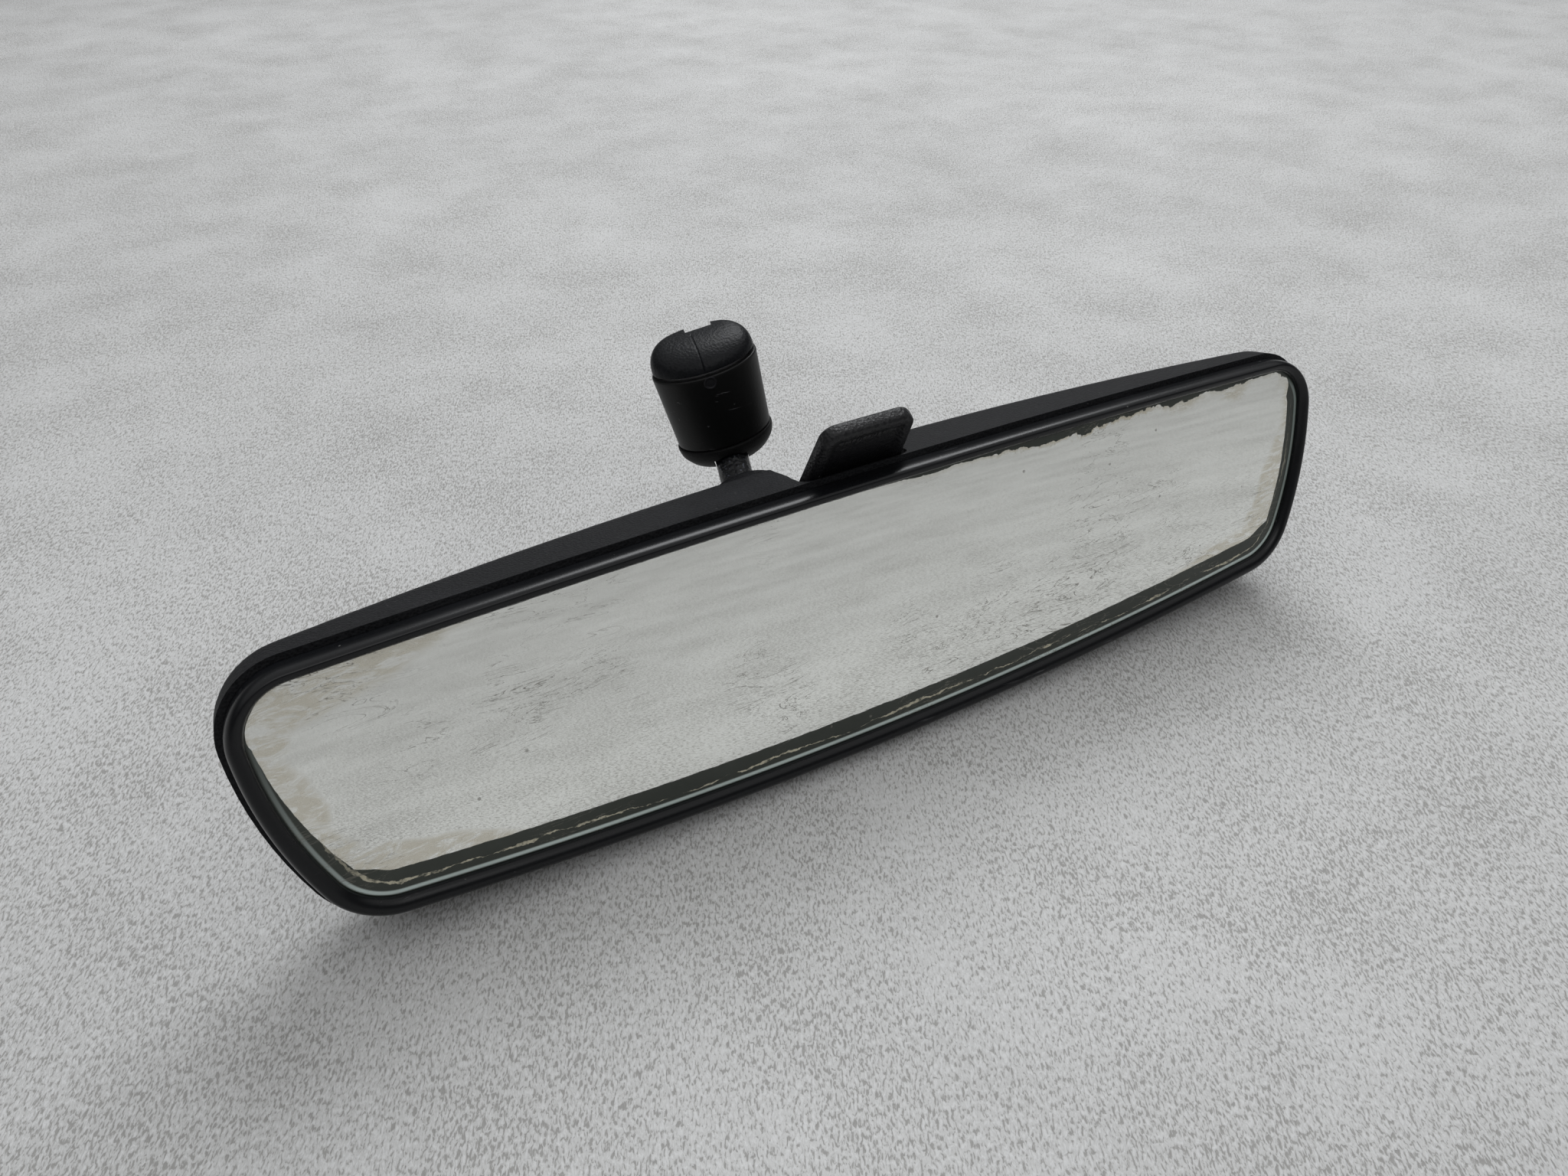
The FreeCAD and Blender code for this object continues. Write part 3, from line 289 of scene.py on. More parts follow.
def plastic(name, dark, light, roughness, grain_mm, grain_depth, scratches=0.0, dust=0.0, gloss=0.3):
    """Moulded plastic: grain, soft blotches, fine scratches and dust specks."""
    p = Paint(name)
    grain = p.cells(1000.0 / grain_mm)
    fine = p.noise(2500.0 / grain_mm, 2.0)
    height = p.math("ADD", grain, p.math("MULTIPLY", fine, 0.5))
    blotch = p.noise(55.0, 4.0)
    colour = p.blend(p.math("MULTIPLY", grain, 0.9, clamp=True), (*dark, 1.0), (*light, 1.0))
    colour = p.blend(p.math("MULTIPLY", p.step(blotch, 0.5, 0.75), 0.35), colour,
                     (*[c * 1.35 for c in light], 1.0))
    rough = p.math("ADD", roughness - 0.06, p.math("MULTIPLY", blotch, 0.14))
    if scratches:
        lines = p.noise(1.0, 3.0, 0.6, vector=p.scaled(60.0, 900.0, 900.0), distortion=0.3)
        mask = p.math("MULTIPLY", p.step(lines, 0.67, 0.71), p.step(p.noise(40.0), 0.5, 0.62))
        colour = p.blend(p.math("MULTIPLY", mask, scratches), colour, (0.2, 0.2, 0.21, 1.0))
    if dust:
        specks = p.math("SUBTRACT", 1.0, p.step(p.cells(420.0), 0.05, 0.11))
        chosen = p.math("MULTIPLY", specks, p.step(p.noise(300.0, 1.0), 0.6, 0.64))
        colour = p.blend(p.math("MULTIPLY", chosen, dust), colour, (0.45, 0.45, 0.44, 1.0))
    p.set(Base_Color=colour, Roughness=rough, Specular_IOR_Level=gloss,
          Normal=p.bump(height, grain_depth * MM))
    return p.material


def metal(name, colour, roughness, depth=0.02):
    """Plain metal with tool marks and tarnish."""
    p = Paint(name)
    marks = p.noise(1.0, 3.0, 0.6, vector=p.scaled(400.0, 400.0, 400.0))
    tarnish = p.noise(160.0, 4.0)
    base = p.blend(p.step(tarnish, 0.4, 0.7), (*colour, 1.0), (*[c * 0.6 for c in colour], 1.0))
    rough = p.math("ADD", roughness, p.math("MULTIPLY", marks, 0.2))
    p.set(Base_Color=base, Metallic=1.0, Roughness=rough, Normal=p.bump(marks, depth * MM))
    return p.material


def cast_black():
    """Black paint on a rough casting: pits, worn bright specks."""
    p = Paint("cast_black")
    pits = p.cells(1300.0)
    lumps = p.noise(1500.0, 4.0, 0.65)
    worn = p.step(p.math("ADD", lumps, p.math("MULTIPLY", pits, 0.25)), 0.72, 0.82)
    colour = p.blend(worn, (0.004, 0.0045, 0.006, 1.0), (0.13, 0.14, 0.17, 1.0))
    p.set(Base_Color=colour, Metallic=p.math("MULTIPLY", worn, 0.6), Specular_IOR_Level=0.4,
          Roughness=p.number(worn, 0.3, 0.4),
          Normal=p.bump(lumps, 0.15 * MM, after=p.bump(pits, 0.1 * MM)))
    return p.material


def silvered_glass():
    """Mirror coating behind glass, eroded along its edges; the dark band along the near and right edges is partly
    painted reflection of the rim, and the ground edge shows as a painted highlight line.
    """
    p = Paint("silvered_glass")
    inside = p.attribute("inside")
    up, across = p.attribute("lean_up"), p.attribute("lean_right")
    # near and right place the wide dark band: painted reflection of the rim in the coating, over real erosion of
    # the silver
    near = p.step(up, 0.2, -0.85)
    right = p.math("MULTIPLY", p.step(across, 0.3, 0.9), p.step(up, 0.9, 0.3))
    far = p.step(up, 0.6, 0.95)
    ragged = p.noise(90.0, 5.0, 0.68)
    ripple = p.noise(260.0, 3.0, 0.6)
    width = p.math("ADD", 0.25, p.math("MULTIPLY", near, 4.9))
    width = p.math("MAXIMUM", width, p.math("MULTIPLY", right, 3.3))
    x = p.node("ShaderNodeSeparateXYZ", {"Vector": p.place}).outputs["X"]
    far_part = p.math("MULTIPLY", far, p.step(p.noise(14.0, 2.0), 0.38, 0.58))
    far_part = p.math("MULTIPLY", far_part, p.step(x, -0.03, 0.03))
    width = p.math("ADD", width,
                   p.math("MULTIPLY", far_part, p.math("MULTIPLY", p.step(ragged, 0.3, 0.72), 2.9)))
    width = p.math("ADD", width, p.math("MULTIPLY", p.math("SUBTRACT", ripple, 0.5), 0.5))
    # where the coating is eroded, and along the near and right edges a painted reflection of the rim
    bare_and_rim_reflection = p.step(p.math("SUBTRACT", width, inside), -0.06, 0.06)
    # creamy stain just inside the boundary
    halo = p.math("SUBTRACT", inside, width)
    ends = p.step(p.math("ABSOLUTE", x), 0.07, 0.11)
    reach = p.math("ADD", p.math("MULTIPLY", far_part, 0.8), p.math("MULTIPLY", ends, 1.4))
    stain_width = p.math("MULTIPLY", p.math("MULTIPLY", p.step(p.noise(22.0, 3.0), 0.36, 0.66), 7.0), reach)
    stain = p.step(p.math("SUBTRACT", stain_width, halo), 0.0, 2.2)
    streaks = p.step(p.noise(1.0, 5.0, 0.7, vector=p.scaled(130.0, 420.0, 420.0), distortion=1.6), 0.36, 0.58)
    stain = p.math("MULTIPLY", stain, p.math("MULTIPLY", streaks, 0.6))
    # a crust of the coating right at the eroded far edge
    crust = p.math("MULTIPLY", p.step(halo, 1.1, 0.2),
                   p.math("MULTIPLY", far_part, p.step(ripple, 0.38, 0.52)))
    stain = p.math("MAXIMUM", stain, p.math("MULTIPLY", crust, 0.85))
    # creamy broken line in the band of bare glass and painted rim reflection
    line_at = p.math("ADD", 2.3, p.math("MULTIPLY", p.math("SUBTRACT", p.noise(60.0, 6.0, 0.66), 0.5), 4.6))
    off = p.math("ABSOLUTE", p.math("SUBTRACT", inside, line_at))
    thick = p.math("MULTIPLY", p.step(p.noise(110.0, 4.0, 0.7), 0.38, 0.78), 0.55)
    cream = p.math("MULTIPLY", p.step(p.math("SUBTRACT", thick, off), -0.02, 0.1), near)
    cream = p.math("MULTIPLY", cream, p.step(p.noise(520.0, 4.0, 0.7), 0.3, 0.56))
    # painted highlight on the ground edge of the glass: a thin pale green line just inside the lip
    edge_at = p.math("ABSOLUTE", p.math("SUBTRACT", inside, 0.62))
    ground_edge_highlight = p.math("MULTIPLY", p.step(edge_at, 0.55, 0.15),
                  p.math("MAXIMUM", near, p.math("MULTIPLY", right, 0.45)))
    ground_edge_highlight = p.math("MULTIPLY", ground_edge_highlight, p.number(p.noise(30.0, 2.0), 0.55, 1.0))
    # dark green of bare glass, which along the near and right edges stands for the painted reflection of the rim
    band = p.blend(p.noise(60.0, 3.0), (0.016, 0.021, 0.016, 1.0), (0.05, 0.058, 0.045, 1.0))
    band = p.blend(cream, band, (0.62, 0.58, 0.44, 1.0))
    # pale green colour of the painted ground-edge highlight
    band = p.blend(ground_edge_highlight, band, (0.84, 0.97, 0.93, 1.0))
    coat = p.blend(stain, (0.965, 0.975, 0.935, 1.0), (0.74, 0.68, 0.53, 1.0))
    colour = p.blend(bare_and_rim_reflection, coat, band)
    # fine scratches and specks on the coating
    hair = p.noise(1.0, 4.0, 0.6, vector=p.scaled(45.0, 260.0, 260.0), distortion=2.2)
    hair = p.math("MULTIPLY", p.step(p.math("ABSOLUTE", p.math("SUBTRACT", hair, 0.5)), 0.012, 0.002),
                  p.step(p.noise(30.0, 2.0), 0.48, 0.6))
    speck = p.math("MULTIPLY", p.step(p.cells(230.0), 0.1, 0.05), p.step(p.noise(150.0, 1.0), 0.6, 0.64))
    mark = p.math("MAXIMUM", p.math("MULTIPLY", hair, 0.75), p.math("MULTIPLY", speck, 0.6))
    colour = p.blend(mark, colour, (0.2, 0.19, 0.16, 1.0))
    solid = p.math("MAXIMUM", bare_and_rim_reflection, p.math("MAXIMUM", p.math("MULTIPLY", stain, 0.45), mark))
    p.set(Base_Color=colour, Metallic=p.math("SUBTRACT", 1.0, solid),
          Roughness=p.number(p.math("MAXIMUM", stain, mark), 0.015, 0.3), IOR=1.5)
    return p.material


def floor_paper():
    """Pale grey paper with a fine leather grain of short strokes and soft mottling."""
    p = Paint("floor_paper")
    grain_turn = p.node("ShaderNodeMapping", {"Vector": p.place, "Rotation": (0.0, 0.0, math.radians(26.0))})
    turned = grain_turn.outputs[0]

    def strokes(across, along, seed):
        stretched = p.node("ShaderNodeMapping", {"Vector": turned, "Scale": (across, along, 1.0),
                                                 "Location": (seed, seed, 0.0)}).outputs[0]
        return p.noise(1.0, 2.0, 0.5, vector=stretched, distortion=0.6)

    fine = strokes(2300.0, 900.0, 3.0)
    coarse = strokes(1200.0, 560.0, 7.0)
    cloud = p.noise(24.0, 4.0, 0.6)
    mottle = p.noise(5.0, 5.0, 0.6)
    amount = p.math("ADD", fine, p.math("MULTIPLY", p.math("SUBTRACT", cloud, 0.5), 0.3))
    amount = p.math("ADD", amount, p.math("MULTIPLY", p.math("SUBTRACT", coarse, 0.5), 0.35))
    dark = p.step(amount, 0.5, 0.64)
    light = p.step(amount, 0.46, 0.34)
    colour = p.blend(p.step(mottle, 0.35, 0.7), (0.60, 0.60, 0.595, 1.0), (0.67, 0.67, 0.665, 1.0))
    colour = p.blend(p.math("MULTIPLY", dark, 0.72), colour, (0.27, 0.262, 0.25, 1.0))
    colour = p.blend(p.math("MULTIPLY", light, 0.5), colour, (0.8, 0.805, 0.81, 1.0))
    p.set(Base_Color=colour, Roughness=0.62, Normal=p.bump(p.math("SUBTRACT", 1.0, amount), 0.25 * MM))
    return p.material


RIM = plastic("rim_satin", (0.0045, 0.005, 0.006), (0.007, 0.0075, 0.009), 0.26, 0.7, 0.004,
              scratches=0.3, dust=0.3, gloss=0.32)
GRAINED = plastic("housing_grain", (0.004, 0.0042, 0.005), (0.02, 0.0205, 0.023), 0.6, 0.5, 0.12, dust=0.1,
                  gloss=0.14)
TAB_BLACK = plastic("tab_black", (0.0045, 0.0045, 0.0055), (0.015, 0.015, 0.0165), 0.38, 0.6, 0.12,
                    scratches=0.6, dust=0.5, gloss=0.36)
SLEEVE_BLACK = plastic("sleeve_black", (0.0035, 0.0037, 0.0037), (0.0055, 0.0055, 0.0055), 0.4, 0.45, 0.015,
                       scratches=0.6, dust=0.1)
CAP_BLACK = plastic("cap_black", (0.004, 0.0045, 0.0055), (0.011, 0.012, 0.0145), 0.38, 0.6, 0.06, gloss=0.17)
BOWL_BLACK = plastic("bowl_black", (0.006, 0.006, 0.006), (0.011, 0.011, 0.0115), 0.5, 0.45, 0.03, gloss=0.15)
CAST = cast_black()
STEEL = metal("turned_steel", (0.5, 0.5, 0.51), 0.28)
SPRING = metal("spring_steel", (0.33, 0.33, 0.36), 0.3)
ZINC = metal("cast_zinc", (0.42, 0.42, 0.43), 0.45, 0.06)
PIP = metal("pip_metal", (0.05, 0.05, 0.055), 0.45, 0.03)
NYLON = plastic("seat_nylon", (0.6, 0.58, 0.52), (0.68, 0.66, 0.6), 0.5, 0.8, 0.01)
FOAM = plastic("pad_foam", (0.03, 0.03, 0.03), (0.07, 0.07, 0.07), 0.9, 0.9, 0.15)
SILVERED = silvered_glass()
PAPER = floor_paper()

for materials, names in (
        (GRAINED, ("rear_housing",)), (ZINC, ("mount_core", "socket_bracket", "socket_ring")),
        (NYLON, ("lower_seat", "upper_seat")), (SPRING, ("seat_spring", "detent_spring")),
        (STEEL, ("bracket_pin", "tab_pin", "seat_plunger", "spring_screw")), (FOAM, ("backing_pad",))):
    for node_name in names:
        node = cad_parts[node_name]
        node.data.materials.clear()
        node.data.materials.append(materials)


def finish_piece(piece, body, slot, material, *nodes):
    """Material, body and the CAD nodes a piece stands for; the slot argument is not used."""
    piece.data.materials.append(material)
    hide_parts(*nodes)
    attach(piece, body)


# ---------------------------------------------------------------------------
# Front rim: one rounded section swept round the outline
# ---------------------------------------------------------------------------
def front_rim():
    width, drop, crest, back = RIM_WIDTH, RIM_DROP, RIM_CREST, RIM_BACK
    top_at, inner_low, outer_low = 0.56, 0.35, -0.6
    section = [(0.0, -0.25), (0.0, 0.1)]
    for step in range(15):
        angle = math.radians(90.0 * step / 14)
        section.append((top_at - top_at * math.cos(angle),
                        inner_low + (crest - inner_low) * math.sin(angle)))
    for step in range(1, 15):
        angle = math.radians(90.0 * step / 14)
        section.append((top_at + (1 - top_at) * math.sin(angle),
                        outer_low + (crest - outer_low) * math.cos(angle)))
    section += [(1.0, -1.1), (1.0, -1.9), (1.0, back + 0.15), (0.95, back), (0.6, back)]
    verts = []
    for across, height in section:
        for point, normal in OUTLINE:
            outer = point + normal * width + Vector((0.0, drop))
            place = point.lerp(outer, across)
            verts.append((place.x, place.y, height))
    return make_object("rim", verts, grid_faces(len(section), len(OUTLINE), flip=True), HEAD)


finish_piece(front_rim(), "head", "rim_satin", RIM, "front_bezel")


# ---------------------------------------------------------------------------
# Glass and its coating: one flat face with attributes for the edge effects,
# and the wedge's side wall; its back stays inside the housing
# ---------------------------------------------------------------------------
def glass_block():
    insets = [-0.7, 0.0, 0.3, 0.6, 1.0, 1.5, 2.0, 2.7, 3.5, 4.5, 6.0]
    verts, inside, lean_up, lean_right = [], [], [], []

    def ring(points, depth_of, distance):
        for (x, y), (_, normal) in zip(points, OUTLINE):
            verts.append((x, y, depth_of(y)))
            inside.append(distance)
            lean_up.append(normal.y)
            lean_right.append(normal.x)

    def back_depth(y):
        return -GLASS_THIN_EDGE - (LIP_TOP - y) * math.tan(math.radians(GLASS_WEDGE))

    border = [tuple(p + n * 0.7) for p, n in OUTLINE]
    ring(border, back_depth, -0.7)
    for inset in insets:
        ring([tuple(p - n * inset) for p, n in OUTLINE], lambda y: -0.02, inset)
    last = [p - n * insets[-1] for p, n in OUTLINE]
    for part in (0.25, 0.5, 0.75, 1.0):
        goals = [Vector((max(-98.0, min(98.0, p.x)), -2.0)) for p in last]
        ring([tuple(p.lerp(goal, part)) for p, goal in zip(last, goals)], lambda y: -0.02, 6.0 + 20 * part)
    rows = len(verts) // len(OUTLINE)
    faces = grid_faces(rows, len(OUTLINE))
    return make_object("glass_face", verts, faces, HEAD,
                       {"inside": inside, "lean_up": lean_up, "lean_right": lean_right})


finish_piece(glass_block(), "head", "silvering", SILVERED, "mirror_glass", "silver_layer")


# ---------------------------------------------------------------------------
# Flip tab: a lipped fin with rounded rims, a sunken panel and a worn edge
# ---------------------------------------------------------------------------
def fin_outline(root_half, top_half, height, radius, count):
    """Closed loop of the fin: straight sides, rounded top corners, with outward normals."""
    slope = math.atan2(root_half - top_half, height)
    side_normal = Vector((math.cos(slope), math.sin(slope)))
    top_y = height - radius
    centre_x = top_half - radius / math.cos(slope) + (radius - radius * math.sin(slope)) * math.tan(slope)
    loop = []
    for step in range(count):
        loop.append((Vector((root_half, 0.0)).lerp(Vector((centre_x, top_y)) + side_normal * radius,
                                                   step / count), side_normal))
    for step in range(count):
        angle = mix(slope, math.pi / 2, step / count)
        normal = Vector((math.cos(angle), math.sin(angle)))
        loop.append((Vector((centre_x, top_y)) + normal * radius, normal))
    for step in range(count):
        loop.append((Vector((mix(centre_x, 0.0, step / count), height)), Vector((0.0, 1.0))))
    mirrored = [(Vector((-p.x, p.y)), Vector((-n.x, n.y))) for p, n in reversed(loop)]
    return loop + [(Vector((0.0, height)), Vector((0.0, 1.0)))] + mirrored


def flip_fin():
    loop = fin_outline(11.4, 10.08, 23.2, 3.4, 26)
    count = len(loop)
    section = [(4.6, -1.35), (3.4, -1.5), (2.0, -1.62), (1.1, -1.68), (0.5, -1.55), (0.12, -1.15),
               (0.0, -0.6), (0.0, 0.0), (0.0, 0.6), (0.1, 1.1), (0.38, 1.45), (0.8, 1.64), (1.3, 1.7), (1.8, 1.68),
               (2.2, 1.58), (2.6, 1.3), (3.0, 0.98), (3.4, 0.86), (4.6, 0.84)]
    verts = []
    for inset, height in section:
        for index, (point, normal) in enumerate(loop):
            place = point - normal * inset
            if inset:
                place.y = max(place.y, 0.0)
            wear = noise.noise(Vector((place.x * 1.3, place.y * 1.3, height * 2.0)))
            bulge = 0.09 * wear if 0.05 < inset < 2.6 or inset == 0.0 else 0.0
            verts.append((place.x + normal.x * bulge, min(23.29, place.y + normal.y * bulge * 0.5),
                          height + bulge * 0.6))
    faces = grid_faces(len(section), count, closed_columns=False, flip=True)
    rows = len(section)
    for row in (0, rows - 1):
        start = row * count
        half = count // 2
        for step in range(half):
            a, b = start + step, start + step + 1
            c, d = start + count - 1 - step, start + count - 2 - step
            if b < d:
                faces.append((a, b, d, c))
    fin = make_object("tab_fin", verts, faces, TAB)
    hub = []
    sides = 48
    rows_x = [-11.45, -11.2, 11.2, 11.45]
    for x, radius in zip(rows_x, (2.7, 2.98, 2.98, 2.7)):
        for step in range(sides):
            angle = 2 * math.pi * step / sides
            hub.append((x, radius * math.cos(angle), radius * math.sin(angle)))
    ring_faces = grid_faces(4, sides, flip=False)
    ring_faces += [tuple(range(sides)), tuple(reversed(range(3 * sides, 4 * sides)))]
    hub_obj = make_object("tab_hub", hub, ring_faces, TAB)
    return fin, hub_obj


fin, hub = flip_fin()
hub.data.materials.append(TAB_BLACK)
finish_piece(fin, "tab", "tab_plastic", TAB_BLACK, "flip_tab")
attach(hub, "tab")


# ---------------------------------------------------------------------------
# Twin-ball arm: turned profile with a cast, pitted surface and a mould line
# ---------------------------------------------------------------------------
def cast_arm():
    span = (UPPER_BALL - LOWER_BALL).length
    axis = (UPPER_BALL - LOWER_BALL).normalized()
    placement = Matrix.Translation(LOWER_BALL) @ axis.to_track_quat("Z", "Y").to_matrix().to_4x4()
    lower, upper, rod, neck = 6.5, 5.2, ROD_RADIUS, 1.0
    profile = []
    reach_low = math.asin((rod + neck * 0.4) / lower)
    reach_high = math.asin((rod + neck * 0.4) / upper)
    for step in range(40):
        angle = math.pi - (math.pi - reach_low) * step / 39
        profile.append((lower * math.sin(angle), lower * math.cos(angle)))
    start, end = lower * math.cos(reach_low), span - upper * math.cos(reach_high)
    for step in range(1, 90):
        z = mix(start, end, step / 90)
        flare = neck * 0.4 * (math.exp(-(z - start) / 0.5) + math.exp(-(end - z) / 0.5))
        profile.append((rod + flare, z))
    for step in range(36):
        angle = reach_high + (math.pi - reach_high) * step / 35
        profile.append((upper * math.sin(angle), span - upper * math.cos(angle)))
    sides = 144
    to_viewer = placement.inverted().to_3x3() @ Vector((-0.384, -0.693, 0.61))
    seam = math.atan2(to_viewer.y, to_viewer.x)
    verts = []
    for radius, z in profile:
        on_rod = smoothstep(start - 0.5, start + 1.0, z) * smoothstep(end + 0.5, end - 1.0, z)
        for step in range(sides):
            angle = 2 * math.pi * step / sides
            spot = Vector((radius * math.cos(angle), radius * math.sin(angle), z))
            rough = noise.noise(spot * 1.7) * 0.06 + noise.noise(spot * 4.5) * 0.035
            turned = (angle - seam + math.pi) % (2 * math.pi) - math.pi
            line = -0.14 * math.exp(-(turned * rod / 0.16) ** 2)
            r = max(0.0, radius + on_rod * (rough - 0.05 + line))
            verts.append((r * math.cos(angle), r * math.sin(angle), z))
    return make_object("cast_arm", verts, grid_faces(len(profile), sides), placement)


finish_piece(cast_arm(), "arm", "arm_metal", CAST, "ball_arm")

# ---------------------------------------------------------------------------
# Mount column: sleeve with rounded rims, domed cap, bowl with the rod's slot
# ---------------------------------------------------------------------------
def sleeve_half(z):
    """Long and short half of the sleeve's oval at a height."""
    t = (z - SLEEVE_LOW) / (SLEEVE_HIGH - SLEEVE_LOW)
    return mix(10.6, 11.7, t), mix(7.7, 8.2, t)


def sleeve():
    wall, edge = 1.2, 0.42
    section = []
    for k in range(5):
        angle = math.radians(90.0 * k / 4)
        section.append((edge - edge * math.sin(angle), SLEEVE_LOW + edge - edge * math.cos(angle)))
    for k in range(1, 30):
        section.append((0.0, mix(SLEEVE_LOW + edge, SLEEVE_HIGH - edge, k / 30)))
    for k in range(5):
        angle = math.radians(90.0 * k / 4)
        section.append((edge - edge * math.cos(angle), SLEEVE_HIGH - edge + edge * math.sin(angle)))
    section += [(wall - 0.1, SLEEVE_HIGH), (wall, SLEEVE_HIGH - 0.1), (wall, SLEEVE_LOW + 0.1),
                (wall - 0.1, SLEEVE_LOW)]
    sides = 220
    verts = []
    for inset, z in section:
        a, b = sleeve_half(z)
        open_from = math.acos(SLEEVE_FLAT_HALF / a)
        first, last = math.pi - open_from, 2 * math.pi + open_from
        for k in range(sides):
            angle = mix(first, last, k / (sides - 1))
            verts.append(((a - inset) * math.cos(angle), (b - inset) * math.sin(angle), z))
    faces = grid_faces(len(section), sides, closed_columns=False, closed_rows=True)
    faces.append(tuple(row * sides for row in range(len(section))))
    faces.append(tuple(reversed([row * sides + sides - 1 for row in range(len(section))])))
    piece = make_object("sleeve", verts, faces, COLUMN)
    piece.data.set_sharp_from_angle(angle=math.radians(50))
    return piece


def cap():
    low, high, a, b = SLEEVE_HIGH + 0.7, SLEEVE_HIGH + 5.6, 11.35, 7.85
    rise = high - low
    sections = [(a - 1.2, b - 1.2, low, 0.0), (a - 0.25, b - 0.25, low, 0.0),
                (a - 0.07, b - 0.07, low + 0.07, 0.0), (a, b, low + 0.25, 0.0)]
    rows = 46
    for k in range(1, rows + 1):
        h = math.sin(math.radians(90.0 * k / rows))
        near = -b + 10.2 * (1 - math.sqrt(max(0.0, 1 - h ** 2.05)))
        far = b - 0.2 * h - 1.5 * (1 - math.sqrt(max(0.0, 1 - h ** 5)))
        long_half = a * (1 - 0.4 * (1 - math.sqrt(max(0.0, 1 - h ** 3.0))) - 0.03 * h)
        sections.append((long_half, (far - near) / 2, low + 0.25 + (rise - 0.25) * h, (far + near) / 2))
    for part in (0.8, 0.5, 0.2):
        sections.append((long_half * part, (far - near) / 2 * part, high, (far + near) / 2))

    def shape(spot):
        """Parting line: a fine groove down the front of the dome."""
        groove = math.exp(-((spot.x + 0.9) / 0.13) ** 2) * smoothstep(3.0, 2.0, spot.y)
        ripple = 0.02 * noise.noise(spot * 0.45)
        direction = Vector((spot.x / (a * a), (spot.y - 1.0) / (b * b), 0.08)).normalized()
        return spot - direction * (0.2 * groove - min(ripple, 0.0)) if spot.z > low + 0.02 else spot

    piece = oval_rings("cap", sections, 840, COLUMN, shape)
    top = high + 3.0
    carve(piece, block("cap_notch", (-1.8, 4.2, high - 2.6), (4.2, 12.0, top), COLUMN),
          block("cap_back", (-SLEEVE_FLAT_HALF, 0.0, low - 1.0), (SLEEVE_FLAT_HALF, 14.0, 22.45), COLUMN))
    return piece


def bowl():
    rings = [(10.92, 8.0, 2.45), (10.88, 7.95, 1.7), (10.5, 7.5, 0.3), (9.6, 6.75, -1.0), (8.6, 5.8, -2.1),
             (7.5, 4.95, -2.85), (6.2, 4.1, -3.35), (4.8, 3.1, -3.47), (2.4, 1.6, -3.5)]
    sections = [(9.2, 6.3, 2.75, 0.0), (10.6, 7.7, 2.75, 0.0), (10.8, 7.88, 2.68, 0.0)]
    for k in range((len(rings) - 1) * 6 + 1):
        at = k / 6
        i = min(int(at), len(rings) - 2)
        t = at - i
        around = (max(i - 1, 0), i, i + 1, min(i + 2, len(rings) - 1))
        before, a, b, after = (Vector(rings[j]) for j in around)
        spot = 0.5 * ((2 * a) + (b - before) * t + (2 * before - 5 * a + 4 * b - after) * t * t
                      + (3 * a - before - 3 * b + after) * t ** 3)
        sections.append((spot.x, spot.y, min(2.55, spot.z), 0.0))
    piece = oval_rings("bowl", sections, 260, COLUMN)
    towards_arm = COLUMN @ Matrix.Rotation(math.radians(ARM_AZIMUTH), 4, "Z")
    half = ROD_SLOT_HALF
    rod_tool = lathe("rod_tool", [(half, 0.0), (half, 20.0)], 64,
                     towards_arm @ Matrix.Rotation(math.radians(180 - ARM_HIGHEST), 4, "X"))
    ball_tool = lathe("ball_tool", [(5.82 * math.sin(math.pi * (k + 0.2) / 24.4),
                                     -5.82 * math.cos(math.pi * (k + 0.2) / 24.4)) for k in range(25)],
                      48, COLUMN)
    flat_room = block("flat_room", (-SLEEVE_FLAT_HALF, 0.0, 0.95), (SLEEVE_FLAT_HALF, 14.0, 4.0), COLUMN)
    carve(piece, flat_room, ball_tool,
          block("slot_fan", (-half, -20.0, -20.0), (half, 0.0, 0.0), towards_arm), rod_tool)
    return piece


def pip():
    profile = [(1.42, 0.0), (1.42, 2.0), (1.4, 2.12), (1.3, 2.2), (1.12, 2.2), (1.02, 2.08), (0.9, 2.06),
               (0.5, 2.1), (0.05, 2.12)]
    height, sunk = SLEEVE_HIGH - PIP_BELOW_TOP, 2.05
    a, b = sleeve_half(height)
    y = -b * math.sqrt(1 - (PIP_ACROSS / a) ** 2)
    place = (COLUMN @ Matrix.Translation((PIP_ACROSS, y + sunk, height))
             @ Matrix.Rotation(math.pi / 2, 4, "X"))
    return lathe("pip", profile, 48, place)


finish_piece(sleeve(), "mount", "sleeve_plastic", SLEEVE_BLACK, "cover_sleeve")
finish_piece(cap(), "mount", "cap_plastic", CAP_BLACK, "cover_cap")
finish_piece(bowl(), "mount", "bowl_plastic", BOWL_BLACK, "cover_bowl")
finish_piece(pip(), "mount", "pip_metal", PIP, "lock_pip")

# ---------------------------------------------------------------------------
# Floor, lights, camera
# ---------------------------------------------------------------------------
HALF_FLOOR = 3.0
floor_mesh = bpy.data.meshes.new("floor")
floor_mesh.from_pydata([(-HALF_FLOOR, -HALF_FLOOR, 0), (HALF_FLOOR, -HALF_FLOOR, 0),
                        (HALF_FLOOR, HALF_FLOOR, 0), (-HALF_FLOOR, HALF_FLOOR, 0)], [], [(0, 1, 2, 3)])
floor = bpy.data.objects.new("floor", floor_mesh)
bpy.context.scene.collection.objects.link(floor)
floor.data.materials.append(PAPER)

TARGET = Vector((0.0, 0.0, 0.03))


def area_light(name, place, width, height, power, colour=(1.0, 1.0, 1.0)):
    data = bpy.data.lights.new(name, "AREA")
    data.shape = "RECTANGLE"
    data.size, data.size_y, data.energy, data.color = width, height, power, colour
    lamp = bpy.data.objects.new(name, data)
    bpy.context.scene.collection.objects.link(lamp)
    lamp.location = place
    lamp.rotation_euler = (TARGET - Vector(place)).to_track_quat("-Z", "Y").to_euler()


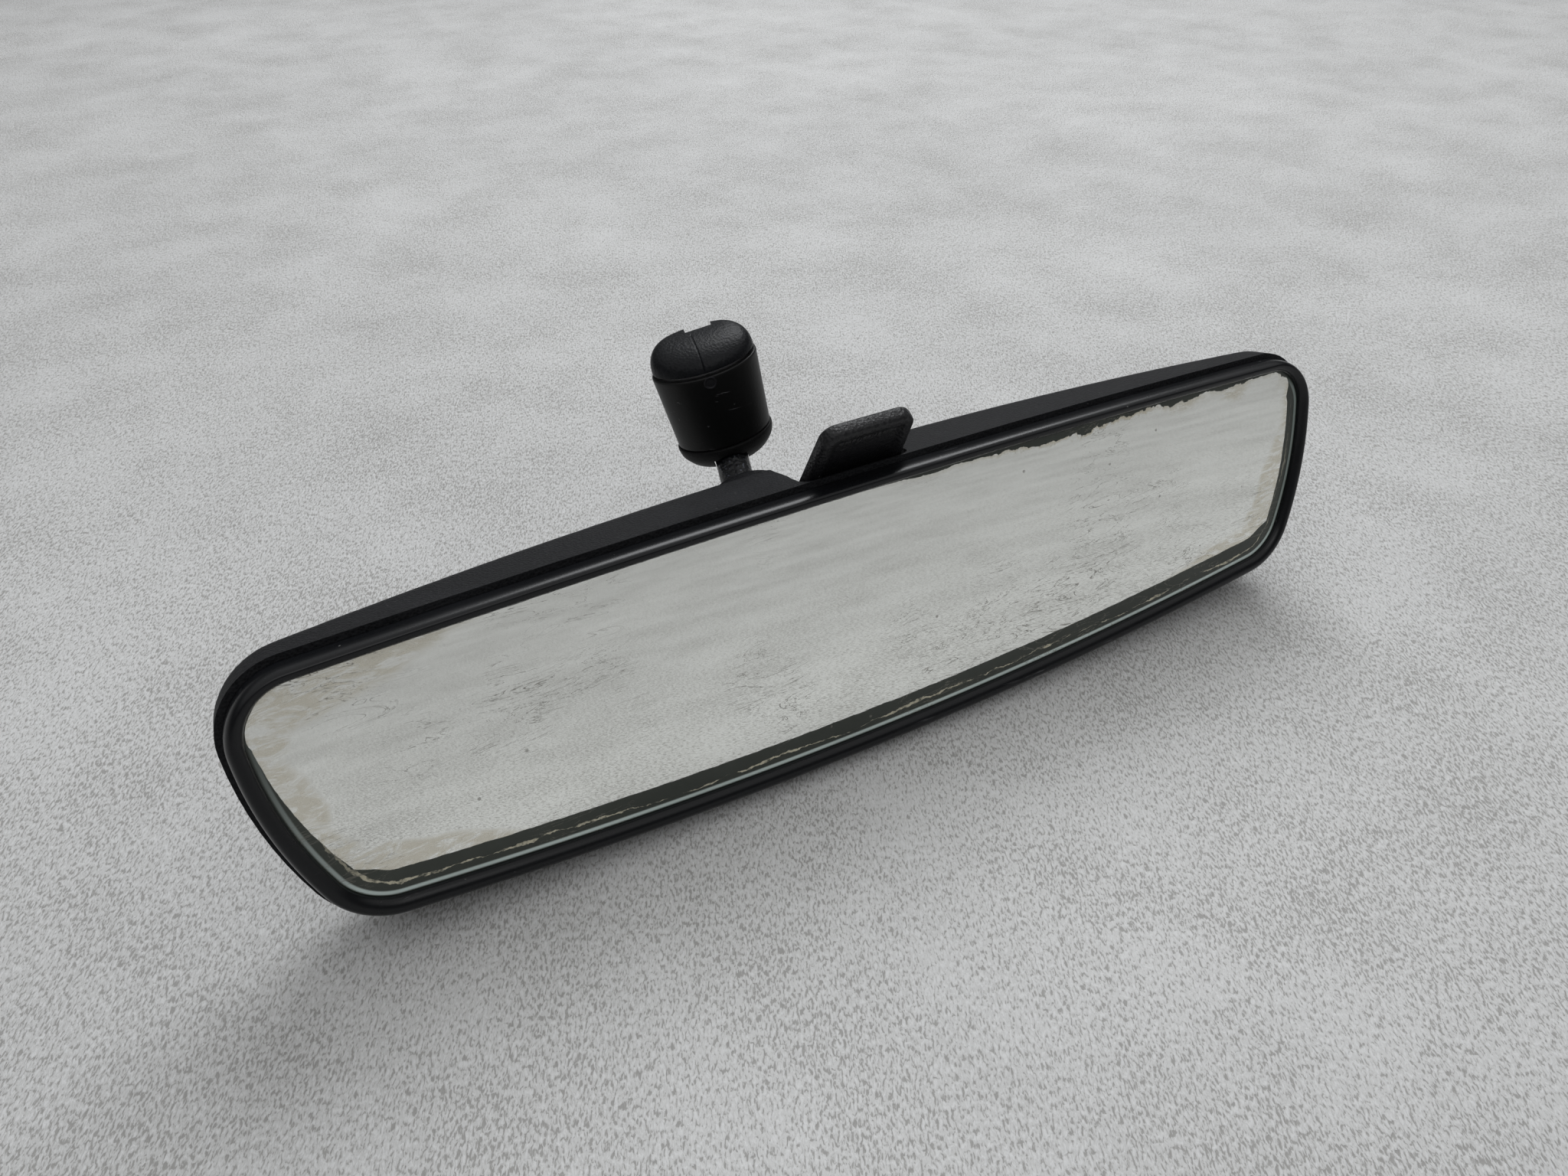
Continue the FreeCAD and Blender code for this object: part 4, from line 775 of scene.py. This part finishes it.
area_light("key_behind", (0.55, 0.76, 1.1), 0.9, 0.6, 9.6, (0.96, 0.98, 1.0))
area_light("fill_front", (-0.2, -1.0, 1.2), 0.8, 0.8, 1.6)
world = bpy.data.worlds.new("studio")
world.use_nodes = True
sky = world.node_tree.nodes
direction = sky.new("ShaderNodeTexCoord")
split = sky.new("ShaderNodeSeparateXYZ")
ramp = sky.new("ShaderNodeValToRGB")
link = world.node_tree.links.new
link(direction.outputs["Generated"], split.inputs[0])
link(split.outputs["Z"], ramp.inputs["Fac"])
link(ramp.outputs["Color"], sky["Background"].inputs["Color"])
# pale at the horizon, as the paper is; a dim room above it; a bright soft ceiling
for place, level in ((0.07, 0.5), (0.12, 0.08), (0.42, 0.1), (0.62, 0.95)):
    stop = ramp.color_ramp.elements.new(place)
    stop.color = (level * 0.98, level * 0.99, level, 1.0)
ramp.color_ramp.elements[0].color = (0.5, 0.5, 0.49, 1.0)
ramp.color_ramp.elements[-1].color = (1.0, 1.0, 1.0, 1.0)
sky["Background"].inputs["Strength"].default_value = 0.62
bpy.context.scene.world = world

camera_data = bpy.data.cameras.new("camera")
SENSOR_MM, FOCAL_PIXELS, IMAGE_PIXELS = 36.0, 1500.0, 2048.0
camera_data.sensor_width = SENSOR_MM
camera_data.lens = SENSOR_MM * FOCAL_PIXELS / IMAGE_PIXELS
camera_data.clip_start = 0.01
camera = bpy.data.objects.new("camera", camera_data)
bpy.context.scene.collection.objects.link(camera)
AZIMUTH, ELEVATION = math.radians(29.0), math.radians(37.6)
right = Vector((math.cos(AZIMUTH), -math.sin(AZIMUTH), 0.0))
forward = Vector((math.sin(AZIMUTH) * math.cos(ELEVATION), math.cos(AZIMUTH) * math.cos(ELEVATION),
                  -math.sin(ELEVATION)))
camera_turn = Matrix((right, right.cross(forward), -forward)).transposed().to_4x4()
CAMERA_PLACE = Vector((-107.083, -177.511, 177.753))
camera.matrix_world = Matrix.Translation(CAMERA_PLACE * MM) @ camera_turn
bpy.context.scene.camera = camera
bpy.context.scene.view_settings.view_transform = "Standard"
